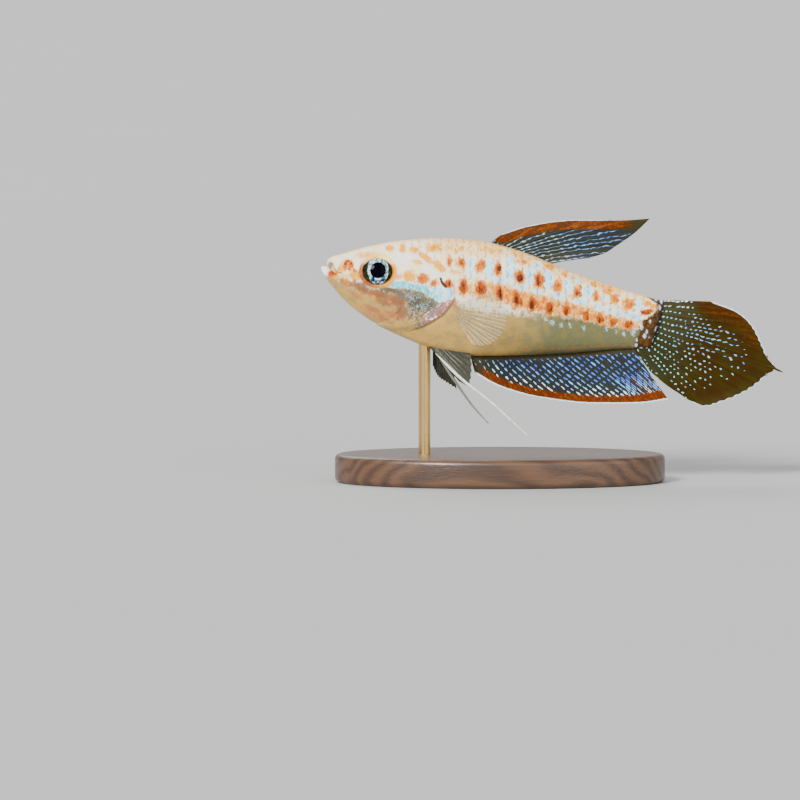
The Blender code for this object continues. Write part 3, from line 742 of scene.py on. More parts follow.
@dataclass
class Markings:
    """The fish's pattern and painted light as numbers from 0 to 1 on its side, for skin and scales alike.

    Marks are laid out as they are seen from the camera's height, so a point's height is lessened by
    drop times its distance from the middle plane. Blots are x, z, half width, half height, tilt and
    strength.
    """

    drop: float = 0.07
    nape: tuple = (
        (-9.34, 19.8, 0.46, 0.34, -20), (-8.27, 19.78, 0.3, 0.46), (-7.33, 19.66, 0.44, 0.3, -30),
        (-5.55, 19.86, 0.75, 0.4), (-6.3, 18.95, 0.95, 0.28, -38), (-5.15, 18.2, 0.74, 0.36, -42),
        (-7.0, 18.6, 0.5, 0.26, -10, 0.8), (-7.7, 17.4, 0.56, 0.56), (-8.5, 17.35, 0.4, 0.3, 0, 0.6),
        (-13.4, 18.1, 0.4, 0.6, -20, 0.8), (-12.25, 17.5, 0.6, 0.6, 0, 0.8), (-13.3, 17.2, 0.7, 0.4, 0, 0.5),
        (-11.6, 19.2, 0.9, 0.34, 15, 0.55), (-3.6, 19.75, 1.3, 0.4, 0, 0.55), (-0.8, 19.6, 1.5, 0.4, -8, 0.6),
        (1.6, 19.05, 1.2, 0.34, -20, 0.6), (-3.9, 17.75, 0.9, 0.3, -10, 0.5), (-12.9, 18.4, 0.7, 0.6, 0, 0.7),
        (3.9, 17.95, 1.1, 0.34, -24, 0.55), (6.3, 17.1, 1.0, 0.34, -20, 0.6),
        (8.9, 16.55, 1.1, 0.3, -18, 0.6), (5.6, 15.8, 1.1, 0.3, -10, 0.5), (8.6, 15.3, 1.0, 0.34, -16, 0.55),
        (10.6, 14.6, 0.8, 0.34, -16, 0.5),
    )
    gold: tuple = (
        (-4.33, 18.68, 0.3, 0.5), (-3.29, 18.51, 0.5, 0.52), (-1.69, 18.33, 0.46, 0.66, -30),
        (1.86, 18.62, 0.52, 0.34, -20, 0.7), (4.15, 18.22, 0.4, 0.26, -20),
        (5.4, 17.62, 0.34, 0.24, -20, 0.8), (4.84, 16.6, 0.5, 0.64), (6.48, 16.17, 0.44, 0.6),
        (7.9, 16.75, 0.36, 0.26, -20, 0.9), (8.05, 15.75, 0.38, 0.52), (9.0, 16.18, 0.4, 0.34, -20),
        (9.62, 15.45, 0.4, 0.55, -10), (10.85, 15.12, 0.58, 0.5, -10), (12.4, 15.1, 0.36, 0.26),
        (13.0, 14.9, 0.36, 0.22), (-0.2, 17.75, 0.34, 0.6, 0, 0.8), (1.62, 17.3, 0.46, 0.66, 0, 0.9),
        (3.22, 16.95, 0.46, 0.72, 0, 0.9),
    )
    stripe: Field = Field(
        ((-4.0, 15.9), (-1.2, 15.35), (2.7, 14.45), (6.2, 13.9), (9.5, 13.15), (11.7, 12.95)),
        ((-4.0, 17.15), (-1.2, 16.95), (2.7, 16.1), (6.2, 15.25), (9.5, 14.15), (11.7, 13.75)), 0.45, 0.66,
    )
    spots: tuple = (
        (-4.33, 18.6, 0.2, 0.38, 0, 0.7), (-3.29, 18.55, 0.3, 0.38, 0, 0.8),
        (-1.69, 18.33, 0.32, 0.52, -30, 0.75), (-0.2, 18.02, 0.3, 0.6), (1.62, 17.38, 0.42, 0.6),
        (3.22, 17.08, 0.42, 0.68), (4.84, 16.5, 0.34, 0.44, 0, 0.65), (6.48, 16.1, 0.28, 0.46, 0, 0.85),
        (8.1, 15.75, 0.22, 0.4, 0, 0.65), (9.62, 15.45, 0.26, 0.44, -20, 0.62),
        (10.95, 15.0, 0.3, 0.4, -20, 0.58), (12.42, 14.42, 0.52, 0.26, 12), (-4.33, 16.76, 0.34, 0.36),
        (-3.12, 16.52, 0.38, 0.76), (-1.69, 16.35, 0.46, 0.74), (-0.09, 15.91, 0.34, 0.82),
        (1.34, 15.48, 0.38, 0.78), (2.63, 15.05, 0.38, 0.72), (4.15, 14.7, 0.4, 0.64),
        (5.58, 14.53, 0.4, 0.5), (7.2, 14.1, 0.32, 0.44), (8.39, 13.85, 0.3, 0.44), (9.49, 13.52, 0.32, 0.4),
        (10.8, 13.32, 0.38, 0.38), (-6.56, 17.15, 0.46, 0.46, 0, 0.62), (-5.6, 16.84, 0.38, 0.34, 0, 0.62),
        (-13.08, 18.36, 0.18, 0.38, 0, 0.9), (-12.62, 18.36, 0.22, 0.34, 0, 0.95),
        (-12.88, 18.7, 0.3, 0.16, 0, 0.8), (-12.76, 18.02, 0.26, 0.15, -30, 0.8),
        (-12.32, 17.93, 0.26, 0.14, -40, 0.7), (-14.26, 17.62, 0.42, 0.3, 10, 0.95),
        (-12.97, 16.89, 0.26, 0.18, -20, 0.42), (-10.74, 15.67, 0.22, 0.16, -20, 0.42),
        (-9.35, 15.3, 0.14, 0.12, 0, 0.5),
    )
    cores: tuple = (
        (-0.2, 18.1, 0.15, 0.38), (1.54, 17.26, 0.22, 0.38), (3.14, 17.0, 0.18, 0.52),
        (-0.06, 15.85, 0.17, 0.66), (1.36, 15.3, 0.22, 0.58), (2.62, 14.95, 0.22, 0.54),
        (4.2, 14.6, 0.2, 0.44), (-3.14, 16.4, 0.17, 0.46, 0, 0.6), (-1.69, 16.3, 0.2, 0.5, 0, 0.6),
        (5.6, 14.4, 0.2, 0.32, 0, 0.7), (8.39, 13.7, 0.13, 0.3, 0, 0.7), (10.8, 13.2, 0.22, 0.2, 0, 0.6),
        (-4.3, 16.76, 0.22, 0.22, 0, 0.7), (6.5, 15.95, 0.13, 0.26, 0, 0.8),
        (-3.25, 18.45, 0.14, 0.2, 0, 0.6), (12.1, 14.35, 0.24, 0.16, 0, 0.6),
    )
    cells: tuple = (
        (-0.98, 18.05, 0.4, 0.85), (0.73, 17.85, 0.52, 0.9), (2.42, 17.4, 0.46, 0.8),
        (4.03, 17.02, 0.46, 0.76), (5.68, 16.6, 0.4, 0.66), (7.32, 16.12, 0.44, 0.6),
        (8.87, 15.55, 0.28, 0.32), (-0.2, 17.05, 0.6, 0.3), (1.6, 16.48, 0.6, 0.28), (3.2, 16.12, 0.6, 0.26),
        (4.9, 15.72, 0.6, 0.26), (6.6, 15.28, 0.6, 0.28), (8.3, 14.85, 0.4, 0.34), (9.15, 14.65, 0.34, 0.34),
        (9.98, 14.32, 0.36, 0.34), (10.78, 14.15, 0.36, 0.34), (11.46, 13.98, 0.32, 0.32),
        (11.66, 15.05, 0.42, 0.36), (0.95, 18.75, 0.3, 0.5, 0, 0.8), (3.9, 17.62, 0.5, 0.4),
        (3.0, 18.2, 0.55, 0.34, 0, 0.8), (6.55, 17.05, 0.4, 0.26, 0, 0.7), (-2.5, 18.3, 0.34, 0.9, 0, 0.8),
    )
    specks: tuple = (
        (0.77, 14.44, 0.17, 0.26), (1.47, 14.2, 0.17, 0.24), (2.24, 14.1, 0.17, 0.22),
        (2.94, 13.97, 0.2, 0.24), (3.8, 13.78, 0.18, 0.24), (4.36, 13.49, 0.22, 0.28),
        (5.1, 13.32, 0.18, 0.26), (5.88, 13.23, 0.17, 0.28), (7.05, 13.06, 0.17, 0.28),
        (8.94, 12.92, 0.18, 0.22), (9.8, 12.8, 0.18, 0.24), (10.5, 12.58, 0.22, 0.24, 60),
        (11.3, 12.66, 0.24, 0.34, -30),
    )
    pale_edge: tuple = (
        (-14.2, 17.6), (-11.0, 16.5), (-8.0, 16.6), (-4.0, 15.3), (-2.5, 14.6), (-0.8, 14.4), (2.7, 14.35),
        (6.2, 14.0), (9.5, 13.3), (12.6, 12.9),
    )
    sky: Field = Field(
        (
            (-9.2, 16.45), (-7.78, 16.38), (-6.79, 16.15), (-5.97, 15.67), (-5.15, 15.22), (-4.33, 15.45),
            (-4.02, 15.75),
        ),
        (
            (-9.2, 16.85), (-8.27, 16.99), (-7.37, 16.74), (-6.38, 16.58), (-5.15, 16.41), (-4.33, 16.34),
            (-4.02, 16.25),
        ),
    )
    smoke: tuple = (
        (-7.05, 15.25, 1.0, 0.95, -20, 0.95), (-6.1, 14.95, 0.95, 0.72, 25, 0.85),
        (-8.0, 15.9, 0.8, 0.4, 0, 0.7), (-9.2, 16.2, 1.15, 0.28, -6, 0.75), (-7.2, 14.2, 0.8, 0.5, 20, 0.5),
        (-6.8, 13.35, 0.8, 0.34, 20, 0.4),
    )
    freckled: tuple = (
        (-12.9, 16.85, 0.8, 0.3, -18, 0.8), (-11.7, 16.45, 0.9, 0.42, -30), (-10.2, 15.85, 1.1, 0.42, -15),
        (-8.7, 15.35, 1.0, 0.6, -20), (-14.35, 18.35, 0.24, 0.5, 0, 0.55), (-6.56, 17.15, 0.6, 0.5, 0, 0.8),
        (-8.3, 14.4, 0.6, 0.7, 0, 0.9), (-9.8, 15.25, 1.0, 0.4, -20, 0.8),
    )
    salmon: tuple = (
        (-10.8, 14.65, 0.75, 0.28, -24), (-8.9, 14.1, 0.95, 0.34, -18, 0.9),
        (-12.1, 15.8, 0.8, 0.3, -30, 0.5), (-10.3, 14.1, 1.5, 0.5, -24, 0.55),
        (-3.9, 15.15, 0.32, 0.45, 0, 0.9), (-11.3, 16.1, 0.7, 0.3, -24, 0.7),
    )
    mauve: Field = Field(
        ((-6.7, 13.2), (-5.73, 13.25), (-4.74, 13.65), (-4.05, 14.5)),
        ((-6.7, 13.75), (-5.56, 14.6), (-4.5, 15.35), (-4.05, 15.45)), 0.14,
    )
    # Painted highlights: white streaks on the lower gill cover.
    glints: tuple = (
        Streak(((-6.2, 13.72), (-5.85, 13.78), (-5.45, 14.0)), 0.07, 0.8),
        Streak(((-6.6, 13.95), (-5.56, 14.72), (-4.4, 15.4)), 0.06, 0.6),
    )
    # The first two lines are painted shade in the mouth's grooves; the third is a dark streak on the gill
    # cover.
    lines: tuple = (
        Streak(((-14.2, 18.52), (-14.02, 18.12), (-13.8, 17.84), (-13.5, 17.72)), 0.065, 0.6),
        Streak(((-13.78, 18.22), (-13.66, 18.06), (-13.55, 17.98)), 0.06, 0.5),
        Streak(((-5.05, 17.2), (-4.9, 16.85), (-4.6, 16.5)), 0.13),
    )
    anal_line: Streak = Streak(((2.0, 11.28), (6.0, 11.36), (9.0, 11.52), (11.4, 11.58)), 0.13, 0.52)
    tail_edge: tuple = (
        (11.0, 11.3), (11.4, 11.4), (11.94, 11.5), (12.82, 11.78), (13.63, 12.0), (14.05, 12.7),
        (14.45, 13.22), (14.83, 13.38), (15.2, 13.1), (15.6, 12.6),
    )

    @staticmethod
    def strongest(marks: Sequence[Mark], x: Array, z: Array) -> Array:
        """The strongest of the marks at each place."""
        return np.maximum.reduce([mark.at(x, z) for mark in marks])

    def blots(self, rows: Sequence[Sequence[float]], x: Array, z: Array) -> Array:
        """The strongest of the blots that a table's rows describe."""
        return self.strongest([Blot(*row) for row in rows], x, z)

    def at(self, x: Array, y: Array, z: Array) -> dict:
        """Every mark's strength.

        Args:
            x: places along the fish.
            y: places across it.
            z: heights.

        Returns:
            Mark name to an array like x.
        """
        up, orbit, above = BODY.share_up(x, z), ORBIT.radius(x, z), z - ORBIT.z
        on_cover = rise(0.05, -0.05, RELIEF.behind_cover(x, z))
        z = z - self.drop * np.abs(y)
        ring = rise(ORBIT.outer + 0.02, ORBIT.outer - 0.1, orbit)
        lid = Blot(ORBIT.x, ORBIT.z + 1.15, 1.15, 0.42).at(x, z) * (orbit > ORBIT.opening)
        brow = np.maximum(ring * rise(0.55, 1.0, above), lid)
        pale_edge, tail_edge = SmoothCurve(*zip(*self.pale_edge)), SmoothCurve(*zip(*self.tail_edge))
        tables = {
            "honey": self.nape, "amber": self.gold, "rust": self.spots, "core": self.cores,
            "pearl": self.cells, "smoke": self.smoke, "freckle": self.freckled, "salmon": self.salmon,
        }
        marks = {key: self.blots(rows, x, z) for key, rows in tables.items()}
        stripe = self.stripe.at(x, z) * (0.55 + 0.45 * rise(-4.0, 1.0, x))
        also = {
            "amber": stripe,
            "pearl": 0.6 * self.blots(self.specks, x, z),
            "salmon": self.anal_line.at(x, z),
        }
        marks.update({key: np.maximum(marks[key], value) for key, value in also.items()})
        marks.update(sky=self.sky.at(x, z), mauve=self.mauve.at(x, z))
        marks.update(glint=self.strongest(self.glints, x, z), ink=self.strongest(self.lines, x, z))
        for key in ("sky", "smoke", "freckle", "mauve", "glint"):
            marks[key] = marks[key] * on_cover
        fade = 0.5 + 0.35 * rise(-8, -11, x) + 0.4 * hump(x + 1.5, 3.5)
        marks.update({
            "under": rise(1, -1, (z - pale_edge(x)) / fade),
            "rear": (x + 0.5 * (14 - z) + 0.6) / 6.0,
            # Painted rim light: the back's top edge turns warmer, as thin skin does where light shines
            # through it.
            "edge_light": 0.45 * rise(0.8, 0.95, up) * rise(-8.0, -4.0, x) + 0.55 * rise(0.95, 1.0, up),
            # Painted fill light: the lowest strip of the belly, which faces away from the lights, is made
            # lighter.
            "low": rise(0.14, 0.02, up) * rise(4.0, -1.0, x),
            "fringe": rise(-0.3, 0.2, x - tail_edge(z)) * (x > 10.5),
            "ring": ring * (1 - brow),
            "gilt": rise(ORBIT.outer - 0.06, ORBIT.opening + 0.06, orbit),
            "brow": brow,
            "lip": rise(-14.45, -14.8, x) * rise(17.2, 17.6, z),
        })
        return {key: np.clip(value, 0, 1) * np.ones(np.shape(x)) for key, value in marks.items()}


MARKINGS = Markings()


@dataclass(frozen=True)
class FleshFinish:
    """Moist fish skin: cream above and tan below, with rust spots, pearly cells and a blue gill cover."""

    name: str
    white: Colour = (1.0, 0.97, 0.9)
    cream: Colour = (1.0, 0.86, 0.52)
    shell: Colour = (1.0, 0.56, 0.19)
    honey: Colour = (1.0, 0.5, 0.035)
    tan: Colour = (0.59, 0.355, 0.088)
    olive: Colour = (0.138, 0.138, 0.056)
    amber: Colour = (0.95, 0.34, 0.004)
    flame: Colour = (0.66, 0.14, 0.002)
    pearl: Colour = (0.22, 0.78, 1.0)
    rust: Colour = (0.34, 0.055, 0.001)
    core: Colour = (0.07, 0.009, 0.001)
    sky: Colour = (0.08, 0.8, 1.0)
    frost: Colour = (0.85, 0.98, 1.0)
    haze: Colour = (0.14, 0.14, 0.092)
    smoke: Colour = (0.06, 0.064, 0.044)
    blush: Colour = (0.27, 0.118, 0.056)
    russet: Colour = (0.2, 0.05, 0.022)
    salmon: Colour = (0.5, 0.155, 0.05)
    mauve: Colour = (0.36, 0.15, 0.12)
    ink: Colour = (0.05, 0.018, 0.014)
    fringe: Colour = (0.042, 0.023, 0.002)
    ember: Colour = (0.13, 0.04, 0.002)
    dot: Colour = (0.1, 0.45, 0.95)
    ring: Colour = (0.36, 0.082, 0.018)
    gilt: Colour = (1.0, 0.4, 0.03)
    brow: Colour = (1.0, 0.9, 0.26)
    lip: Colour = (1.0, 0.94, 0.86)

    def material(self) -> Material:
        """The finish as a material that reads the piece's marks and Object coordinates.

        Returns:
            The material.
        """
        t = Tree(self.name)
        where = t.place()
        x, y, z = t.split(where)
        tall = t.vector(x, y, z * 0.6)
        broad = t.step(t.noise(where, 1.2, 3.0), 0.32, 0.68)
        fine = t.step(t.noise(tall, 3.6, 4.0, 0.65), 0.34, 0.66)
        grain = t.step(t.noise(where, 8.0, 3.0, 0.6), 0.34, 0.66)
        ragged = (fine - 0.5) * 0.55 + (grain - 0.5) * 0.4
        soft = (t.noise(tall, 3.2, 4.0, 0.75) - 0.5) * 2.3 + (grain - 0.5) * 0.34
        mottle = fine * 0.6 + grain * 0.5
        keys = ("under", "rear", "amber", "rust", "core", "pearl", "sky", "smoke", "salmon", "tint")
        marks = {key: t.number(key) for key in keys}

        # warm carries the painted rim light along the back's top, besides noise and the amber marks.
        warm = broad * 0.45 + fine * 0.45 + t.number("edge_light") * 0.7 + marks["amber"] * 0.5
        cream = t.mix(t.step(warm, 0.25, 0.58), self.white, self.cream)
        cream = t.mix(t.step(warm, 0.6, 1.1), cream, self.shell)
        tan = t.mix(marks["rear"] + (broad - 0.5) * 0.22 + (fine - 0.5) * 0.1, self.tan, self.olive)
        tan = t.mix(t.step(broad + fine * 0.3, 0.35, 1.1) * 0.3, tan, self.haze)
        tan = t.mix(t.step(t.cells(where, 3.4), 0.24, 0.06) * 0.35 * grain, tan, self.smoke)
        # Painted fill light: the tan is lightened along the belly's underside.
        tan = t.shade(tan, t.number("low") * 0.4 + 1.0)
        under = t.torn(marks["under"], ragged * 0.9, 0.15, 0.85)
        colour = t.mix(under, cream, tan)
        salmon = t.torn(marks["salmon"], soft * 0.8, 0.15, 0.75)
        colour = t.mix(salmon * 0.85, colour, t.mix(t.step(x, 1.0, 3.0) * 0.7, self.salmon, self.blush))
        honey = t.torn(t.number("honey"), soft, 0.16, 0.74)
        colour = t.mix(honey, colour, t.mix(t.step(mottle + soft * 0.5, 0.44, 0.96), self.amber, self.honey))
        amber = t.torn(marks["amber"], soft * 0.95, 0.18, 0.7)
        colour = t.mix(amber, colour, t.mix(t.step(mottle, 0.2, 0.66), self.flame, self.amber))
        pearl = t.torn(marks["pearl"], soft * 0.8 + (grain - 0.5) * 0.2, 0.26, 0.58)
        shell = t.mix(grain * 0.8 + broad * 0.2, self.pearl, self.frost)
        colour = t.mix(pearl * (1.0 - under * 0.5), colour, shell)
        blush = t.torn(t.number("freckle"), soft * 1.0, 0.12, 0.66)
        colour = t.mix(blush * 0.95, colour, t.mix(t.step(mottle, 0.4, 1.0), self.blush, self.tan))
        freckle = t.torn(t.number("freckle") * 0.62, ragged * 0.95, 0.4, 0.66)
        colour = t.mix(freckle * 0.75, colour, self.russet)
        halo = t.torn(marks["rust"], soft * 0.8, 0.04, 0.34)
        colour = t.mix(halo * 0.85, colour, t.mix(t.step(mottle, 0.15, 0.7), self.flame, self.amber))
        rust = t.torn(marks["rust"], soft * 0.85, 0.28, 0.64)
        deep = t.step(marks["rust"] + (fine - 0.5) * 0.9 + (grain - 0.5) * 0.3, 0.36, 0.92)
        colour = t.mix(rust, colour, t.mix(deep, self.flame, self.rust))
        core = t.torn(marks["core"], soft * 1.1, 0.26, 0.85)
        colour = t.mix(core * 0.95, colour, self.core)
        mauve = t.torn(t.number("mauve"), ragged * 0.5, 0.25, 0.75)
        colour = t.mix(mauve, colour, t.mix(t.step(mottle, 0.7, 1.05) * 0.75, self.mauve, self.frost))
        haze = t.torn(marks["smoke"], soft * 1.0, 0.12, 0.5)
        colour = t.mix(haze, colour, t.mix(t.step(mottle, 0.3, 0.95), self.haze, self.blush))
        smoke = t.torn(marks["smoke"], ragged * 1.3, 0.42, 0.95)
        colour = t.mix(smoke * 0.75, colour, self.smoke)
        threads = t.step(t.math("ABSOLUTE", t.noise(tall, 2.0, 3.0, 0.7) - 0.5), 0.02, 0.004)
        threads = threads * marks["smoke"] * t.step(x, -9.5, -7.0)
        colour = t.mix(threads * 0.7, colour, t.mix(grain, self.sky, self.white))
        sky = t.torn(marks["sky"], ragged * 1.1, 0.24, 0.56)
        bright = t.step(fine * 0.5 + grain * 0.4 + t.step(x, -6.6, -4.8) * 0.5, 0.4, 1.1)
        fleck = t.step(t.noise(tall, 5.0, 3.0, 0.7), 0.47, 0.58)
        fleck = fleck * t.step(x, -4.8, -6.0) * (marks["smoke"] + 0.5)
        iris = t.mix(t.step(x + ragged, -4.45, -4.15) * 0.8, t.mix(bright, self.sky, self.frost), self.dot)
        colour = t.mix(sky, colour, t.mix(fleck, iris, self.haze))
        # Painted highlights of the glint streaks on the gill cover.
        colour = t.mix(t.torn(t.number("glint"), ragged * 0.9, 0.34, 0.8), colour, self.frost)
        fringe = t.torn(t.number("fringe"), soft * 0.9, 0.2, 0.8)
        beads = t.step(t.cells(tall, 2.1, 0.75) + (grain - 0.5) * 0.12, 0.36, 0.22)
        ground = t.mix(t.step(mottle, 0.35, 0.85), self.fringe, self.ember)
        colour = t.mix(fringe, colour, t.mix(beads, ground, t.mix(broad, self.dot, self.frost)))
        colour = t.mix(t.number("lip"), colour, self.lip)
        # Painted shade in the mouth's grooves, and a dark streak on the gill cover.
        colour = t.mix(t.torn(t.number("ink"), ragged * 0.4, 0.25, 0.7), colour, self.ink)
        across = t.step(x, ORBIT.x - 1.3, ORBIT.x + 1.1)
        ring = t.mix(across + (fine - 0.5) * 0.3, self.ring, self.gilt)
        ring = t.shade(ring, 1.0 - t.step(t.number("gilt"), 0.75, 1.0) * 0.5)
        colour = t.mix(t.number("ring"), colour, ring)
        brow = t.mix(across + (fine - 0.5) * 0.5, self.gilt, self.brow)
        colour = t.mix(t.number("brow"), colour, brow)
        colour = t.shade(colour, broad * 0.08 + fine * 0.1 + grain * 0.08 + marks["tint"] * 0.08 + 0.82)
        # Painted shade along each scale's rear edge, none on the tan belly.
        colour = t.shade(colour, 1.0 - t.step(t.number("edge"), 0.84, 1.0) * (0.08 - under * 0.08))
        shine = pearl * 0.1 + sky * 0.15
        varying = {
            "Base Color": colour,
            "Roughness": fine * 0.12 + 0.34 - shine * 0.4,
            "Metallic": shine,
            "Normal": t.bump(fine * 0.4 + grain * 0.4, 0.02),
        }
        constant = {"Coat Weight": 0.12, "Coat Roughness": 0.16, "Specular IOR Level": 0.2}
        return t.finish(varying, constant)


@dataclass
class Skin:
    """The one closed skin over head, gill covers, trunk and tail stalk.

    It starts deep in the mouth, rolls out over both lips by the mouth rings, joins the body along face
    rings, which are five places along X each, and closes behind the tail's root. A mouth ring is x and z
    of its top, x, y and z of its upper side, corner and lower side, and x and z of its bottom.
    """

    columns: int = 300
    mouth: tuple = (
        (-13.38, 17.88, -13.38, 0.02, 17.87, -13.38, 0.03, 17.85, -13.38, 0.02, 17.83, -13.38, 17.82),
        (-13.7, 18.05, -13.66, 0.42, 17.98, -13.5, 0.72, 17.8, -13.7, 0.42, 17.72, -13.75, 17.68),
        (-14.5, 18.42, -14.34, 0.58, 18.06, -13.92, 1.04, 17.62, -14.36, 0.58, 17.96, -14.56, 18.28),
        (-14.66, 18.6, -14.46, 0.68, 18.26, -13.82, 1.16, 17.6, -14.6, 0.62, 17.84, -15.0, 18.31),
        (-14.62, 18.84, -14.38, 0.78, 18.52, -13.7, 1.24, 17.58, -14.64, 0.72, 17.6, -15.17, 18.1),
        (-14.46, 18.98, -14.18, 0.86, 18.7, -13.52, 1.32, 17.58, -14.5, 0.8, 17.38, -15.03, 17.76),
    )
    face: tuple = (
        (-14.2, -13.95, -13.28, -14.12, -14.5),
        (-13.85, -13.6, -13.05, -13.7, -14.05),
        (-13.3, -13.15, -12.8, -13.15, -13.4),
        (-12.7, -12.62, -12.5, -12.62, -12.7),
        (-12.2, -12.2, -12.2, -12.2, -12.2),
    )
    ring_steps: tuple = (5, 7, 9, 9, 8, 6, 6, 7, 7, 7)
    head_end: float = -3.2
    head_rows: int = 122
    body_rows: int = 112
    cap_rows: int = 9
    cap_reach: float = 0.55
    cap_narrowing: float = 0.1

    def turns(self) -> Array:
        """The angles round the body."""
        return np.linspace(0, 2 * math.pi, self.columns, endpoint=False)

    def snout(self) -> Array:
        """The rows from the mouth to the face.

        Through the five points of each ring x and z are a sum of cos(m turn), m = 0 to 4, and y is a
        sum of sin(m turn), m = 1 to 3. From ring to ring the five points follow smooth curves. From the
        last mouth ring on, the points pass over to the body itself.

        Returns:
            An array of rows by columns by 3.
        """
        five = np.arange(5) * math.pi / 4
        rings = [np.insert(row, (1, 12), 0.0).reshape(5, 3) for row in self.mouth]
        rings += [BODY.place(np.array(xs), five) for xs in self.face]
        keys = np.array(rings)
        count = len(keys)
        stops = np.arange(float(count))
        rows = np.concatenate([a + np.arange(n) / n for a, n in zip(stops, self.ring_steps)])
        flat = [SmoothCurve(stops, axis)(rows) for axis in keys.reshape(count, 15).T]
        fives = np.stack(flat, -1).reshape(len(rows), 5, 3)
        turn = self.turns()
        even = np.linalg.inv(np.cos(np.outer(five, np.arange(5))))
        odd = np.linalg.inv(np.sin(np.outer(five[1:4], np.arange(1, 4))))
        cosines = np.cos(np.outer(turn, np.arange(5))) @ even
        sines = np.sin(np.outer(turn, np.arange(1, 4))) @ odd
        x, z = fives[..., 0] @ cosines.T, fives[..., 2] @ cosines.T
        y = fives[:, 1:4, 1] @ sines.T
        free = np.stack([x, y, z], -1)
        last = len(self.mouth) - 1
        share = rise(last, last + 2, rows)[:, None, None]
        return free * (1 - share) + BODY.place(x, turn[None, :]) * share

    def tail_cap(self) -> Array:
        """The rows that close the tail: x grows by reach sin(a), and the width falls with cos(a).

        Returns:
            An array of rows by columns by 3.
        """
        angle = np.linspace(0, math.pi / 2, self.cap_rows + 1)[1:, None]
        rim = BODY.place(BODY.tail_x, self.turns()[None, :])
        x = rim[..., 0] + self.cap_reach * np.sin(angle)
        y = rim[..., 1] * np.maximum(np.cos(angle), 0.02)
        middle = rim[..., 2].mean()
        z = middle + (rim[..., 2] - middle) * (1 - self.cap_narrowing * np.sin(angle) ** 2)
        return np.stack([x, y, z], -1)

    def grid(self) -> Array:
        """All rows of the skin with its relief.

        Returns:
            An array of rows by columns by 3.
        """
        x = np.concatenate([
            np.linspace(self.face[-1][0], self.head_end, self.head_rows, endpoint=False),
            np.linspace(self.head_end, BODY.tail_x, self.body_rows),
        ])
        trunk = BODY.place(x[:, None], self.turns()[None, :])
        smooth = np.concatenate([self.snout(), trunk, self.tail_cap()])
        along = np.gradient(smooth, axis=0)
        around = np.roll(smooth, -1, 1) - np.roll(smooth, 1, 1)
        out = np.cross(along, around)
        out /= np.maximum(np.linalg.norm(out, axis=-1, keepdims=True), 1e-9)
        height = RELIEF.height(smooth[..., 0], smooth[..., 2])
        height[:sum(self.ring_steps[:len(self.face)])] = 0
        raised = smooth + out * height[..., None]
        raised[..., 1] -= np.sign(smooth[..., 1]) * ORBIT.bowl(smooth[..., 0], smooth[..., 2])
        return raised

    def build(self) -> Piece:
        """Makes the skin.

        Returns:
            The piece.
        """
        grid = self.grid()
        rows, columns = grid.shape[:2]
        points = grid.reshape(-1, 3)
        numbers = MARKINGS.at(*points.T)
        numbers["tint"] = np.full(len(points), 0.5)
        # The bare skin gets no painted scale-edge shade.
        numbers["edge"] = np.zeros(len(points))
        surface = Surface(points, ring_faces(rows, columns), numbers)
        made = surface.piece("skin", Slot.SKIN, FleshFinish("skin_finish").material())
        nodes = ("head", "lower_jaw", "gill_cover_left", "gill_cover_right", "trunk", "tail_stalk")
        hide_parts(*nodes)
        return made


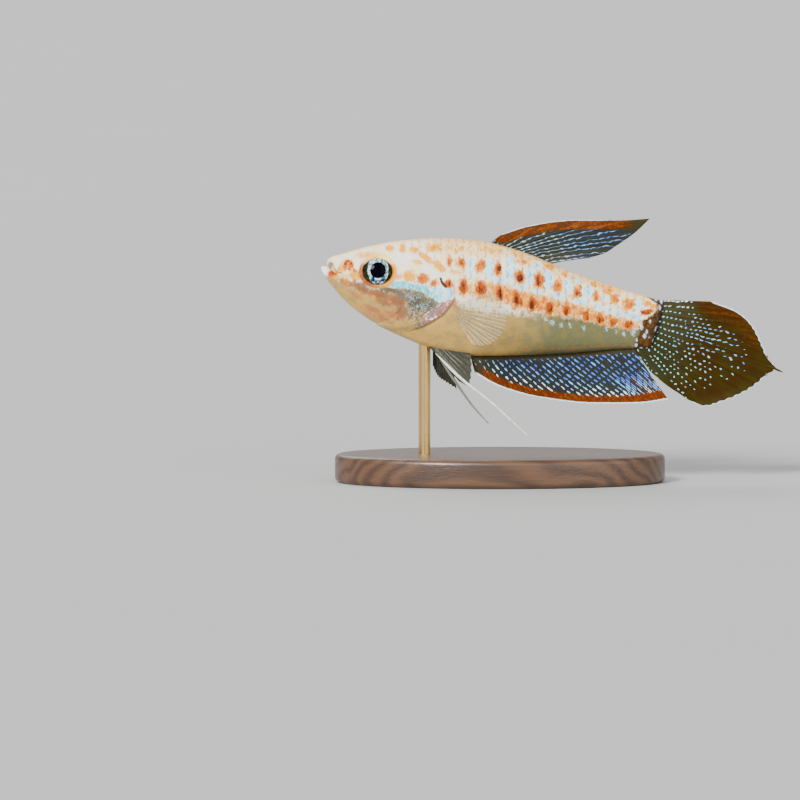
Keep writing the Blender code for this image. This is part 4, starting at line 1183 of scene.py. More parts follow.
@dataclass
class Scales:
    """Overlapping scales, each a thin closed plate with a round rear edge, rooted in the skin."""

    first_x: float = -9.6
    last_x: float = 12.6
    pitch: float = 0.62
    rows: int = 26
    overlap: float = 1.6
    spread: float = 0.6
    steps: tuple = (5, 5)
    sunk: float = 0.03
    lift: float = 0.018
    crown: float = 0.028
    thickness: float = 0.016
    belly_share: float = 0.1
    roundness: float = 0.34
    taper: float = 0.12
    unevenness: float = 0.1
    own_place: float = 0.75
    patch: float = 0.003
    start: tuple = ((0, -9.3), (0.16, -8.7), (0.3, -5.2), (0.42, -3.6), (0.6, -3.7), (0.8, -4.6), (1, -4.3))

    def roots(self) -> Pair:
        """Where each scale is rooted, in staggered columns behind the head's bare skin.

        Returns:
            The x and the turn of each.
        """
        columns = np.arange(self.first_x, self.last_x, self.pitch)
        column, row = np.meshgrid(columns, np.arange(self.rows), indexing="ij")
        stagger = 0.5 * (np.arange(column.shape[0])[:, None] % 2)
        turn = (row + stagger + 0.25) * 2 * math.pi / self.rows
        half = np.abs((turn + math.pi) % (2 * math.pi) - math.pi) / math.pi
        keep = column > SmoothCurve(*zip(*self.start))(half)
        return column[keep], turn[keep]

    def build(self) -> Piece:
        """Makes all scales as one mesh.

        On a scale p runs from its root to its rear edge and q across it from -1 to 1. Its points lie at
        x + length (p - 0.34 q^2 p) and turn + spread q, and stand off the skin by -sunk + (sunk + lift)
        p - crown q^2. A point takes its colour from between its own place and the scale's middle.

        Returns:
            The piece.
        """
        x, turn = self.roots()
        count = len(x)
        draw = np.random.default_rng(SEED)
        tint = draw.random(count)
        sway = 1 + self.unevenness * (draw.random(count) - 0.5)
        p = np.linspace(0, 1, self.steps[0])[None, :, None]
        q = np.linspace(-1, 1, self.steps[1])[None, None, :]
        length = (self.pitch * self.overlap * sway)[:, None, None]
        place = x[:, None, None] + length * (p - self.roundness * q**2 * p)
        angle = turn[:, None, None] + self.spread * 2 * math.pi / self.rows * q * (1 - self.taper * p)
        base, out = BODY.place(place, angle), BODY.normal(place, angle)
        lift = self.lift * (1 - (1 - self.belly_share) * rise(1.6, 1.2, np.abs(angle - math.pi)))
        off = -self.sunk + (self.sunk + lift) * p - self.crown * q**2
        near = base + out * off[..., None]
        far = base + out * (off - self.thickness)[..., None]
        points = np.stack([near, far], 1).reshape(-1, 3)
        one = sheet_faces(*self.steps)
        size = 2 * self.steps[0] * self.steps[1]
        faces = (one[None] + np.arange(count)[:, None, None] * size).reshape(-1, 4).tolist()
        middle = base.mean((1, 2))[:, None, None, :]
        seen = self.own_place * base + (1 - self.own_place) * middle
        numbers = {k: self.both(v) for k, v in MARKINGS.at(seen[..., 0], seen[..., 1], seen[..., 2]).items()}
        numbers["tint"] = self.both(tint[:, None, None] + 0 * place)
        # edge: how near a point lies to its scale's rear edge, where the skin finish paints shade.
        numbers["edge"] = self.both(np.clip(p + 0.5 * q**2, 0, 1) + 0 * place)
        share = 0.02 + 0.96 * (x - self.first_x) / (self.last_x - self.first_x)
        u = share[:, None, None] + self.patch * (p - 0.5) + 0 * place
        v = 0.02 + 0.96 * (turn / (2 * math.pi) % 1)[:, None, None] + self.patch * q / 2 + 0 * place
        bake = np.stack([self.both(u), self.both(v)], -1)
        surface = Surface(points, faces, numbers, {"OFBake": bake})
        return surface.piece("scales", Slot.SKIN, FleshFinish("scale_finish").material())

    @staticmethod
    def both(values: Array) -> Array:
        """A grid of numbers for each scale, given to both faces of its plate."""
        return np.stack([values, values], 1).ravel()


@dataclass(frozen=True)
class EyeFinish:
    """A wet eye: black pupil, mottled silver-blue iris, dark green rim and a blue patch low down with a
    painted highlight.
    """

    pupil: float = 0.67
    pupil_up: float = 0.14
    iris: float = 1.02
    squeeze: float = 1.38
    black: Colour = (0.001, 0.001, 0.003)
    silver: Colour = (0.7, 0.92, 1.0)
    blue: Colour = (0.09, 0.26, 0.36)
    steel: Colour = (0.028, 0.07, 0.095)
    rim: Colour = (0.008, 0.016, 0.008)
    deep: Colour = (0.004, 0.018, 0.072)
    gold: Colour = (0.3, 0.26, 0.05)

    def material(self) -> Material:
        """The finish, drawn round the eye's axis in the side view.

        Returns:
            The material.
        """
        t = Tree("eye_finish")
        where = t.place()
        x, _, z = t.split(where)
        dx, dz = x - ORBIT.x, z - ORBIT.z
        low = dz - self.pupil_up
        radius = t.math("SQRT", dx * dx * self.squeeze + low * low * 0.72)
        inner = t.math("SQRT", dx * dx + low * low)
        angle = t.math("ARCTAN2", low, dx)
        polar = t.vector(inner * 2.0, t.math("SINE", angle) * 1.6, t.math("COSINE", angle) * 1.6)
        streaks, fleck = t.noise(polar, 2.4, 3.0, 0.65), t.noise(where, 4.5, 2.0)
        colour = t.mix(t.step(streaks, 0.46, 0.62), self.silver, self.blue)
        colour = t.mix(t.step(streaks + fleck * 0.5, 0.66, 0.84) * 0.6, colour, self.steel)
        patch = t.step(low, -0.34, -0.6) * t.step(t.math("ABSOLUTE", dx) + low * 0.2, 0.56, 0.34)
        patch = patch * t.step(low + (streaks - 0.5) * 0.7, -1.14, -0.86)
        colour = t.mix(patch, colour, t.mix(t.step(fleck, 0.52, 0.66) * 0.7, self.deep, self.blue))
        # Painted highlight: a pale trapezoid in the blue patch under the pupil.
        wide = t.math("ABSOLUTE", dx) - low * 0.4
        glint = t.step(wide, 0.6, 0.5) * t.step(t.math("ABSOLUTE", low + 0.73), 0.13, 0.07)
        colour = t.mix(glint, colour, self.silver)
        outer = t.step(radius + (streaks - 0.5) * 0.12, self.iris - 0.05, self.iris + 0.05)
        colour = t.mix(outer, colour, t.mix(t.step(fleck, 0.45, 0.7) * 0.16, self.rim, self.gold))
        hole = t.step(inner, self.pupil + 0.03, self.pupil - 0.02)
        colour = t.mix(hole, colour, self.black)
        shine = (1.0 - hole) * (1.0 - outer) * 0.3
        varying = {"Base Color": colour, "Metallic": shine}
        constant = {"Roughness": 0.25, "Specular IOR Level": 0.0, "Coat Weight": 0.14}
        constant.update({"Coat Roughness": 0.03, "Coat IOR": 1.33})
        return t.finish(varying, constant)


@dataclass
class Eye:
    """One eye: a flattened globe that bulges from its opening, leaning in at the top with the head."""

    side: Side
    radius: float = 1.32
    middle: float = 1.48
    bulge: float = 0.82
    lean: float = 0.15
    dome: float = 2.3
    rings: int = 48
    columns: int = 96

    def build(self, material: Material) -> Piece:
        """Makes the eye: at radius r its face stands out by bulge (1 - (r / radius)^dome)^0.5.

        Args:
            material: the eyes' material.

        Returns:
            The piece.
        """
        latitude = np.linspace(0, math.pi, self.rings)[:, None]
        turn = np.linspace(0, 2 * math.pi, self.columns, endpoint=False)[None, :]
        r = self.radius * np.maximum(np.sin(latitude), 0.004)
        front = np.where(latitude < math.pi / 2, self.bulge, -0.45)
        out = front * np.sqrt(np.maximum(1 - (r / self.radius) ** self.dome, 0))
        x, z = ORBIT.x + r * np.cos(turn), ORBIT.z + r * np.sin(turn)
        y = self.side.value * (self.middle + out - self.lean * (z - ORBIT.z))
        points = np.stack([x, y, z], -1).reshape(-1, 3)
        word = self.side.name.lower()
        surface = Surface(points, ring_faces(self.rings, self.columns))
        made = surface.piece(f"eye_globe_{word}", Slot.EYE, material)
        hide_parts(f"eye_{word}")
        return made


@dataclass(frozen=True)
class SpottedFinFinish:
    """Dark fin membrane with blue dashes along its rays, a rust band and a pale broken edge.

    Lanes of dashes follow the rays, a share lanes of a lane to a ray, turned by skew rays a millimetre and
    wavering. A dash is an oval of half_long by half_wide millimetres. Along a lane dashes come every
    period, which grows by growth a millimetre, and are set off by stagger from lane to lane. Density is
    the share of them that is there. Thread is the strength of a thin line on every half lane. Where the
    fin's number double is 1, dashes come twice as close across. Out to haze_ends the membrane between
    them is hazy.
    """

    name: str
    period: float = 0.6
    half_long: float = 0.19
    half_wide: float = 0.085
    density: float = 0.94
    waver: float = 0.4
    lanes: float = 1.0
    stagger: float = 0.5
    growth: float = 0.001
    thread: float = 0.0
    skew: float = 0.0
    membrane: Colour = (0.014, 0.008, 0.004)
    olive: Colour = (0.03, 0.021, 0.004)
    root: Colour = (0.105, 0.09, 0.04)
    haze: Colour = (0.02, 0.036, 0.044)
    haze_ends: tuple = (30.0, 20.0)
    rust: Colour = (0.105, 0.02, 0.002)
    flame: Colour = (0.26, 0.056, 0.002)
    deep: Colour = (0.012, 0.09, 0.7)
    pale: Colour = (0.22, 0.62, 0.96)
    white: Colour = (0.85, 0.94, 1.0)
    teal: Colour = (0.25, 0.72, 0.62)
    edge: Colour = (0.72, 0.88, 0.92)
    hem: float = 0.15

    def dashes(self, t: Tree, line: Value, spacing: Value, warp: Value, rough: Value) -> tuple[Value, Value]:
        """The dashes for rays numbered by line, spacing apart.

        Args:
            t: the tree.
            line: the ray number, whole on rays.
            spacing: millimetres from ray to ray.
            warp: slow noise about 0.
            rough: quick noise about 0.

        Returns:
            How far out a point lies on its dash's oval, squared, and the dash's chance number.
        """
        lane = t.math("ROUND", line)
        widening = t.number("along") * self.growth + 1.0
        travel = t.math("LOGARITHM", widening, math.e) / (self.growth * self.period)
        travel = travel + lane * self.stagger + warp * 0.6
        cell = t.math("ROUND", travel)
        luck, second = t.chance(t.vector(lane, cell, 3.0)), t.chance(t.vector(cell, lane, 8.0))
        off_along, off_across = (travel - cell) * self.period * widening, (line - lane) * spacing
        long = off_along / (luck * 0.6 * self.half_long + self.half_long * 0.7 + t.number("stretch") * 0.14)
        slim = self.half_wide * (1.0 - t.number("stretch") * 0.35)
        wide = (off_across + off_along * 0.12) / ((second * 0.8 + 0.6) * slim)
        missing = t.step(second + t.number("double") * 0.16, self.density, self.density + 0.02) * 9.0
        return long * long + wide * wide + rough * 1.6 + missing, luck

    def material(self) -> Material:
        """The finish, drawn by the fin's own numbers.

        Returns:
            The material.
        """
        t = Tree(self.name)
        where = t.place()
        ray, along, pitch = t.number("ray"), t.number("along"), t.number("pitch")
        broad, fine = t.noise(where, 0.6, 3.0), t.noise(where, 4.5, 3.0, 0.6)
        rough, warp = fine - 0.5, t.noise(where, 1.3, 2.0) - 0.5
        line, pitch = (ray - along * self.skew + warp * self.waver) * self.lanes, pitch / self.lanes
        dash, luck = self.dashes(t, line, pitch, warp, rough)
        double, chance = self.dashes(t, line * 2.0, pitch * 0.5, warp, rough)
        apart = t.math("GREATER_THAN", t.number("double"), 0.5)
        dash, luck = (a * (1.0 - apart) + b * apart for a, b in ((dash, double), (luck, chance)))
        spotted = t.number("spotted")
        dash = t.step(dash + (1.0 - spotted) * 1.6, 1.15, 0.7)
        thread = t.step(t.off_whole(line * 2.0) * pitch * 0.5, 0.04, 0.01)
        mark = t.math("MAXIMUM", dash, thread * t.step(spotted, 0.4, 0.9) * self.thread)
        streaks = t.noise(t.vector(ray * 3.0, along * 0.4, 2.0), 1.0, 3.0, 0.6)
        colour = t.mix(t.step(broad + (streaks - 0.5) * 0.6, 0.4, 0.64), self.membrane, self.olive)
        colour = t.mix(t.number("root") * (streaks * 0.8 + 0.4), colour, self.root)
        colour = t.mix(spotted * t.step(along, *self.haze_ends) * 0.45, colour, self.haze)
        warm = t.mix(t.step(streaks + rough * 0.8, 0.42, 0.72), self.rust, self.flame)
        colour = t.mix(t.step(t.number("band") + rough * 0.45, 0.3, 0.7), colour, warm)
        tint = t.mix(luck * 0.6 + t.number("pale") - 0.15, self.deep, self.pale)
        tint = t.mix(t.step(t.number("pale") + luck * 0.3, 0.75, 1.15), tint, self.white)
        tint = t.mix(t.number("green"), tint, self.teal)
        colour = t.mix(mark, colour, tint)
        rayline = t.step(t.off_whole(ray), 0.16, 0.04)
        colour = t.shade(colour, 0.78 + streaks * 0.35 + rayline * 0.16)
        hem = t.step(t.number("hem") + rough * 0.1, self.hem + 0.03, self.hem - 0.03)
        lace = t.number("lace")
        lace = hem * t.step(broad + fine * 0.7 + lace * 0.5, 0.92, 1.08) * t.step(lace, 0.1, 0.4)
        colour = t.mix(lace, colour, self.edge)
        varying = {
            "Base Color": colour,
            "Roughness": fine * 0.2 + 0.42 - mark * 0.12,
            "Normal": t.bump(rayline * 0.6 + fine * 0.4, 0.02),
        }
        return t.finish(varying, {"Specular IOR Level": 0.06})


@dataclass(frozen=True)
class ClearFinFinish:
    """Glass-clear fin membrane with fine pale jointed rays.

    Film and bone are the alphas of membrane and rays, line where a ray's edge starts and ends in ray
    numbers, fading the length at which rays end, and patchy how uneven the colour is.
    """

    name: str
    film: float = 0.08
    bone: float = 0.46
    line: tuple = (0.12, 0.0)
    fading: float = 4.6
    tint: Colour = (0.3, 0.26, 0.14)
    ray_colour: Colour = (1.0, 0.86, 0.62)
    patchy: float = 0.4

    def material(self) -> Material:
        """The finish, drawn by ray number, distance along the rays and how bright they are.

        Returns:
            The material.
        """
        t = Tree(self.name)
        where = t.place()
        ray, along = t.number("ray"), t.number("along")
        fine = t.noise(where, 4.0, 3.0)
        fork = t.step(along, 1.2, 3.4) * 0.22
        line = t.step(t.math("ABSOLUTE", t.off_whole(ray) - fork), *self.line)
        joint = t.step(t.math("ABSOLUTE", t.math("FRACT", along / 0.42) - 0.5), 0.4, 0.46) * line
        colour = t.mix(line * t.number("bright"), self.tint, self.ray_colour)
        colour = t.shade(t.mix(joint * 0.4, colour, self.tint), fine * self.patchy + 1.0 - self.patchy / 2)
        strength = (fine * 0.8 + 0.6) * t.step(along, self.fading, 0.8)
        alpha = line * (self.bone - self.film) * strength + self.film
        varying = {"Base Color": colour, "Alpha": alpha, "Normal": t.bump(line * 0.7 + fine * 0.3, 0.02)}
        return t.finish(varying, {"Roughness": 0.35, "Specular IOR Level": 0.25, "Coat Roughness": 0.12})


class Places(NamedTuple):
    """The points of a fin's sheet, as grids.

    s and t are shares along the root and along the rays, x and z places along the fish and heights, rim
    and along distances from the margin and from the root.
    """

    s: Array
    t: Array
    x: Array
    z: Array
    rim: Array
    along: Array


@dataclass
class Fin:
    """A fin as a thin closed sheet with a ridge along each ray on both faces.

    tips: place along the root, then x and z of the ray's tip. A ray's number is whole on the ray. The
    sheet starts inset inside the body and is bent by bow; film and ridge make up its half thickness.
    Margin is the stretch of its edge that carries the band. Rays count double where fork is passed.
    """

    name: str
    node: str
    tips: tuple
    rays: int
    ray_share: float = 0.42
    bow: tuple = (0.0, 0.0)
    inset: float = 0.75
    columns_a_ray: int = 8
    rows: int = 60
    film: float = 0.045
    ridge: float = 0.045
    thinning: float = 0.55
    scallop: float = 0.0
    lobes: int = 1
    branch_at: float = 0.45
    branch: float = 0.24
    ridge_reach: float = 0.1
    margin: tuple = (0.0, 1.0)
    fork: float = 9.0

    def root(self, s: Array) -> Pair:
        """The root's x and z."""
        raise NotImplementedError

    def sway(self, t: Array, x: Array, z: Array) -> Array:
        """How far the sheet's middle lies from the fish's middle plane."""
        raise NotImplementedError

    def tip(self, s: Array) -> Pair:
        """The outer edge's x and z."""
        place, x, z = zip(*self.tips)
        return SmoothCurve(place, x)(s), SmoothCurve(place, z)(s)

    def numbering(self) -> Pair:
        """Places along the root and their ray numbers, whole numbers on rays."""
        s = np.linspace(0, 1, self.columns_a_ray * self.rays + 1)
        return s, s * (self.rays - 1 + self.ray_share) - self.ray_share / 2

    def outline(self) -> tuple[Array, Array, Array, Array]:
        """The sheet between the faces.

        A point is root (1 - t) + tip t + bow 4 t (1 - t), scaled by the ray's length. t starts below 0,
        inside the body, and ends short of 1 by the scallop between rays.

        Returns:
            Grids of x, z and t, and the length of each column's ray.
        """
        s, ray = self.numbering()
        start, end = np.array(self.root(s)), np.array(self.tip(s))
        length = np.hypot(*(end - start))
        share = np.linspace(0, 1, self.rows)[:, None]
        low = -self.inset / length
        high = 1 - self.scallop / length * np.sin(math.pi * ray * self.lobes) ** 2
        t = low + (high - low) * share
        bend = 4 * t * (1 - t) * length / length.max()
        x = start[0] * (1 - t) + end[0] * t + self.bow[0] * bend
        z = start[1] * (1 - t) + end[1] * t + self.bow[1] * bend
        return x, z, t, length

    def half_thickness(self, ray: Array, t: Array) -> Array:
        """Film plus ridges, thinner towards the edge; each ridge forks in two past the branching place.

        Args:
            ray: ray numbers.
            t: shares along the rays.

        Returns:
            A number for each point.
        """
        apart = self.branch * rise(self.branch_at, 1.0, t)
        off = np.abs(ray - np.round(ray))
        ridges = np.maximum(hump(off - apart, self.ridge_reach), hump(off + apart, self.ridge_reach))
        return (self.film + self.ridge * ridges) * (1 - self.thinning * np.clip(t, 0, 1))

    def rim_distance(self, x: Array, z: Array) -> Array:
        """The distance from the margin's stretch that carries the band."""
        return nearest(np.transpose(self.tip(np.linspace(*self.margin, MARGIN_STEPS))), x, z)

    def ray_spacing(self, x: Array, z: Array, ray: Array) -> Array:
        """The distance from ray to ray: the step across, to one ray on, times the unit step along.

        Args:
            x: places along the fish.
            z: heights.
            ray: each column's ray number.

        Returns:
            A number for each point.
        """
        points = np.stack([x, z], -1)
        along = np.gradient(points, axis=0)
        along /= np.linalg.norm(along, axis=-1, keepdims=True)
        across = np.gradient(points, axis=1) / np.gradient(ray)[None, :, None]
        return np.abs(across[..., 0] * along[..., 1] - across[..., 1] * along[..., 0])

    def web(self) -> Surface:
        """The sheet with its numbers: ray, along, pitch, hem, double and those of its pattern.

        Returns:
            The closed sheet.
        """
        s, ray = self.numbering()
        x, z, t, length = self.outline()
        half = self.half_thickness(ray[None, :], t)
        middle = self.sway(np.clip(t, 0, 1), x, z)
        near, far = np.stack([x, middle - half, z], -1), np.stack([x, middle + half, z], -1)
        rim = self.rim_distance(x, z)
        hem = np.minimum(rim, (t[-1:] - t) * length)
        pitch = self.ray_spacing(x, z, ray)
        numbers = {"ray": ray[None, :], "along": t * length, "pitch": pitch, "hem": hem}
        numbers["double"] = pitch > self.fork
        numbers.update(self.pattern(Places(s + 0 * t, np.clip(t, 0, 1), x, z, rim, t * length)))
        return sheet(near, far, numbers)

    def surface(self) -> Surface:
        """The whole fin."""
        return self.web()

    def with_thread(self, line: tuple, form: tuple, run: float, **numbers: float) -> Surface:
        """The sheet with a thread in it, whose numbers are 0 but for those given.

        Args:
            line: x and z of points along the thread, then radii evenly along it.
            form: how many rings it has, and its thickness across Y as a share of that in the XZ plane.
            run: how much the number along grows over it.
            numbers: named numbers at its start.

        Returns:
            Both as one surface.
        """
        (path, radii), (count, flatness), web = line, form, self.web()
        x, z = smooth_line(path, count).T
        middle = np.stack([x, self.sway(np.ones(count), x, z), z], -1)
        thick = SmoothCurve(np.linspace(0, 1, len(radii)), radii)(np.linspace(0, 1, count))
        thread = tube(middle, thick, THREAD_SIDES, flatness)
        along = thread.numbers.pop("along")
        thread.numbers.update({key: 0 * along + numbers.get(key, 0.0) for key in web.numbers})
        thread.numbers["along"] += run * along
        return joined([web, thread])

    def pattern(self, at: Places) -> dict:
        """Numbers from 0 to 1 that lay the finish's pattern out.

        Args:
            at: the sheet's points.

        Returns:
            spotted (where dashes may be), band, root, pale, green, stretch and lace, or for a
            clear fin bright.
        """
        return {"bright": 1 + 0 * at.t}

    def build(self, slot: Slot, material: Material) -> Piece:
        """Makes the fin in place of its solid.

        Args:
            slot: its material slot.
            material: its finish.

        Returns:
            The piece.
        """
        made = self.surface().piece(self.name, slot, material)
        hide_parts(self.node)
        return made


@dataclass
class DorsalFin(Fin):
    """The dorsal fin, a narrow blade swept back from the back's highest part."""

    root_ends: tuple = (-0.5, 4.55)
    lean: float = 0.35
    dip: float = 0.22

    def root(self, s: Array) -> Pair:
        """A line one gap above the back that dips at its rear end."""
        x = between(self.root_ends, s)
        return x, BODY.back(x) + BODY.clear_of(BODY.back, x) - self.dip * rise(0.75, 1.0, s)

    def sway(self, t: Array, x: Array, z: Array) -> Array:
        """It leans over with the square of the share along its rays."""
        return self.lean * t**2

    def pattern(self, at: Places) -> dict:
        """Short bold dashes at the root, long ones beyond, and a rust band that ends before the tip.

        Args:
            at: the sheet's points.

        Returns:
            Name to a grid.
        """
        s, t, x, _, rim, _ = at
        tip = rise(8.8, 13.0, x)
        return {
            "spotted": rise(0.6, 0.95, rim) * rise(12.2, 10.2, x),
            "double": 1 + 0 * t,
            "band": rise(0.95, 0.55, rim) * (1 - tip),
            "root": 0.5 * rise(0.78, 0.92, s) + 0.3 * tip,
            "pale": 0.3 + 0.52 * rise(7.0, 4.5, x) + 0.25 * rise(0.55, 0.95, s),
            "green": 0 * t,
            "stretch": 0.6 * rise(4.5, 8.0, x) - 0.3 * rise(6.0, 4.0, x),
            "lace": rise(0.47, 0.4, s) * (0.9 - 0.7 * rise(6.0, 10.5, x)),
        }


@dataclass
class AnalFin(Fin):
    """The long anal fin under the belly, waving gently from side to side."""

    root_ends: tuple = (-2.45, 11.55)
    swing: float = 0.28
    waves: float = 0.067

    def root(self, s: Array) -> Pair:
        """A line one gap below the belly."""
        x = between(self.root_ends, s)
        return x, BODY.belly(x) - BODY.clear_of(BODY.belly, x)

    def sway(self, t: Array, x: Array, z: Array) -> Array:
        """A wave along the fin that grows towards its edge."""
        return self.swing * t * np.sin(2 * math.pi * self.waves * x)

    def pattern(self, at: Places) -> dict:
        """An olive strip at the root, blue dashes, closer and paler in the rear corner, and a rust band.

        Args:
            at: the sheet's points.

        Returns:
            Name to a grid.
        """
        s, t, x, _, rim, along = at
        corner = rise(0.66, 0.86, s) * rise(0.3, 0.5, t)
        front = rise(0.16, 0.02, s)
        width = 0.75 + 0.22 * rise(0.65, 0.95, s)
        return {
            "double": corner > 0.5,
            "spotted": rise(-0.05, 0.15, along) * rise(width - 0.28, width + 0.06, rim) * (1 - 0.45 * front),
            "band": np.maximum(rise(width + 0.15, width - 0.15, rim) * rise(-2.0, -1.0, x), 0.42 * corner),
            "root": 0.3 * rise(0.4, 0.05, along) + 0.3 * rise(0.09, 0.02, s),
            "pale": 0.14 + (0.8 - 0.25 * corner) * rise(width + 1.5, width + 0.1, rim),
            "green": 0 * t,
            "stretch": np.maximum(1.15 * corner, 0.9 * front),
            "lace": 1 + 0 * t,
        }


@dataclass
class TailFin(Fin):
    """The rounded tail fin; its last rays are tucked under the tail stalk's corner."""

    space: float = 0.33
    turn_at: float = 0.9
    tuck: tuple = (1.0, 0.3)
    drop: float = 0.15
    reach: float = 10.0
    bend: float = 0.5
    thread: tuple = ((22.5, 9.95), (23.1, 9.68), (23.55, 9.46), (24.0, 9.27))
    thread_radii: tuple = (0.02, 0.1, 0.09, 0.03)
    thread_form: tuple = (40, 0.6)

    def root(self, s: Array) -> Pair:
        """A line behind the tail's seam that turns under the corner for its last rays.

        Args:
            s: shares of the root's length.

        Returns:
            Its x and z.
        """
        corner, top = BODY.tail_seam[1], BODY.tail_seam[2]
        down = np.minimum(s / self.turn_at, 1)
        under = np.maximum(s - self.turn_at, 0) / (1 - self.turn_at)
        x = top[0] + (corner[0] - top[0]) * down + self.space - self.tuck[0] * under**2
        z = top[1] - self.drop + (corner[1] - top[1]) * down - self.tuck[1] * under
        return x, z

    def sway(self, t: Array, x: Array, z: Array) -> Array:
        """It bends sideways with the square of the distance behind the tail stalk."""
        return self.bend * (np.maximum(x - BODY.tail_seam[1][0], 0) / self.reach) ** 2 + 0 * t

    def pattern(self, at: Places) -> dict:
        """Dashes that shrink away before the outer third, on brown that turns rusty at the rear edge.

        Args:
            at: the sheet's points.

        Returns:
            Name to a grid.
        """
        s, _, x, z, rim, along = at
        top, low = rise(0.24, 0.06, s), rise(0.52, 0.68, s)
        middle = Blot(18.4, 11.9, 2.1, 1.2, -25).at(x, z)
        stalk = 0.5 * rise(4.5, 1.0, along) * rise(0.7, 0.3, s)
        return {
            "spotted": rise(1.1, 2.0, rim),
            "band": 0.5 * rise(2.6, 0.6, rim) * rise(0.62, 0.3, s) + 0.25 * rise(1.2, 0.3, along),
            "root": 0.22 * rise(0.5, 0.9, s) * rise(1.2, 0.2, rim) + stalk,
            "pale": 0.28 + 0.65 * top + 0.3 * rise(2.6, 0.4, along) - 0.1 * rise(3.0, 6.0, along),
            "green": 0.75 * low,
            "stretch": np.maximum(0.75 * middle, 0.5 * top * rise(3.0, 1.5, along)),
            "lace": np.maximum(rise(0.46, 0.38, s), 0.8 * rise(0.54, 0.6, s)) * rise(0.98, 0.9, s),
        }

    def surface(self) -> Surface:
        """The fin with the thread that its longest rays end in."""
        line = (self.thread, self.thread_radii)
        return self.with_thread(line, self.thread_form, 1.0, ray=6.3, along=8.0, hem=2.0, root=0.2)


@dataclass
class PectoralFin(Fin):
    """A pectoral fin: a clear fan that leaves the flank behind the gill cover."""

    side: Side = Side.LEFT
    root_x: float = -3.75
    root_z: tuple = (15.15, 14.0)
    reach: float = 4.35
    fan: tuple = (25.0, -57.0)
    lift: float = 1.5
    shortening: float = 0.35
    longest: float = 0.45
    clearance: float = 0.715

    def root(self, s: Array) -> Pair:
        """An upright line on the flank."""
        return self.root_x + 0 * s, between(self.root_z, s)

    def tip(self, s: Array) -> Pair:
        """A fan: reach (1 - 0.35 (2 (s - 0.45))^2) at an angle that falls from the first ray to the last.

        Args:
            s: shares of the root's length.

        Returns:
            Its x and z.
        """
        angle = np.radians(between(self.fan, s))
        far = self.reach * (1 - self.shortening * (2 * (s - self.longest)) ** 2)
        x, z = self.root(s)
        return x + far * np.cos(angle), z + far * np.sin(angle)

    def sway(self, t: Array, x: Array, z: Array) -> Array:
        """Off the flank by a clearance that starts at the root, and by the lift along the rays."""
        clear = self.clearance * rise(-0.05, 0.22, t) - 0.12 * rise(0.06, 0.0, t)
        return self.side.value * (BODY.flank(x, z) + clear + self.lift * t)


@dataclass
class PelvicFin(Fin):
    """A pelvic fin: a small web, and its first ray drawn out into a long feeler."""

    side: Side = Side.LEFT
    feeler: tuple = ()
    feeler_radii: tuple = (0.05, 0.13, 0.095, 0.04)
    feeler_form: tuple = (90, 1.0)
    root_ends: tuple = (-5.7, -4.35)
    rounding: float = 0.94
    clearance: float = 0.12
    spacing: float = 0.75
    splay: float = 0.32
    tuck: float = 1.5

    def root(self, s: Array) -> Pair:
        """A line under the breast that ends inside it."""
        x, off = between(self.root_ends, s), 1 - self.tuck * rise(0.3, 0.9, s)
        return x, BODY.height(x, -self.rounding) - (BODY.clear_of(BODY.belly, x) + self.clearance) * off

    def sway(self, t: Array, x: Array, z: Array) -> Array:
        """The fin spreads outwards with the depth below its root."""
        top = float(self.root(np.array(0.5))[1])
        return self.side.value * (self.spacing + self.splay * (top - z)) + 0 * t

    def pattern(self, at: Places) -> dict:
        """Dull rays, but for a few bright ones in the left web's middle.

        Args:
            at: the sheet's points.

        Returns:
            Name to a grid.
        """
        strongest = 0.7 if self.side is Side.LEFT else 0.25
        first = hump(at.s - 0.34, 0.12) * rise(2.8, 1.4, at.along)
        second = 0.8 * hump(at.s - 0.64, 0.05) * rise(2.2, 1.2, at.along)
        return {"bright": 0.04 + strongest * np.maximum(first, second)}

    def surface(self) -> Surface:
        """The web with its feeler."""
        line, bright = (self.feeler, self.feeler_radii), 1.0 if self.side is Side.LEFT else 0.35
        return self.with_thread(line, self.feeler_form, 0.0, bright=bright, along=0.21)


@dataclass(frozen=True)
class WalnutFinish:
    """Dark oiled walnut with grain along X."""

    light: Colour = (0.13, 0.06, 0.026)
    dark: Colour = (0.032, 0.014, 0.007)

    def material(self) -> Material:
        """The finish on Object coordinates, stretched along the grain.

        Returns:
            The material.
        """
        t = Tree("walnut_finish")
        x, y, z = t.split(t.place())
        bend = t.noise(t.vector(x * 0.06, y * 0.25, z * 0.25), 1.0, 2.0)
        rings = t.math("SINE", (y + z * 0.6 + bend * 5.0) * 5.2)
        pores = t.noise(t.vector(x * 0.35, y * 6.0, z * 6.0), 1.0, 3.0, 0.6)
        share = rings * 0.28 + pores * 0.7 + 0.15
        colour = t.mix(share, self.light, self.dark)
        varying = {"Base Color": colour, "Roughness": pores * 0.25 + 0.28, "Normal": t.bump(pores, 0.03)}
        return t.finish(varying, {"Coat Weight": 0.3, "Coat Roughness": 0.15})


@dataclass(frozen=True)
class BrassFinish:
    """Satin drawn brass with fine lines along the rod."""

    bright: Colour = (0.86, 0.58, 0.22)
    dull: Colour = (0.55, 0.34, 0.12)

    def material(self) -> Material:
        """The finish on Object coordinates.

        Returns:
            The material.
        """
        t = Tree("brass_finish")
        x, y, z = t.split(t.place())
        lines = t.noise(t.vector(x * 14.0, y * 14.0, z * 0.7), 1.0, 2.0)
        cloud = t.noise(t.vector(x, y, z * 0.5), 1.2, 2.0)
        colour = t.mix(cloud * 0.7 + lines * 0.2, self.bright, self.dull)
        varying = {"Base Color": colour, "Roughness": lines * 0.16 + cloud * 0.12 + 0.16}
        return t.finish(varying, {"Metallic": 1.0})


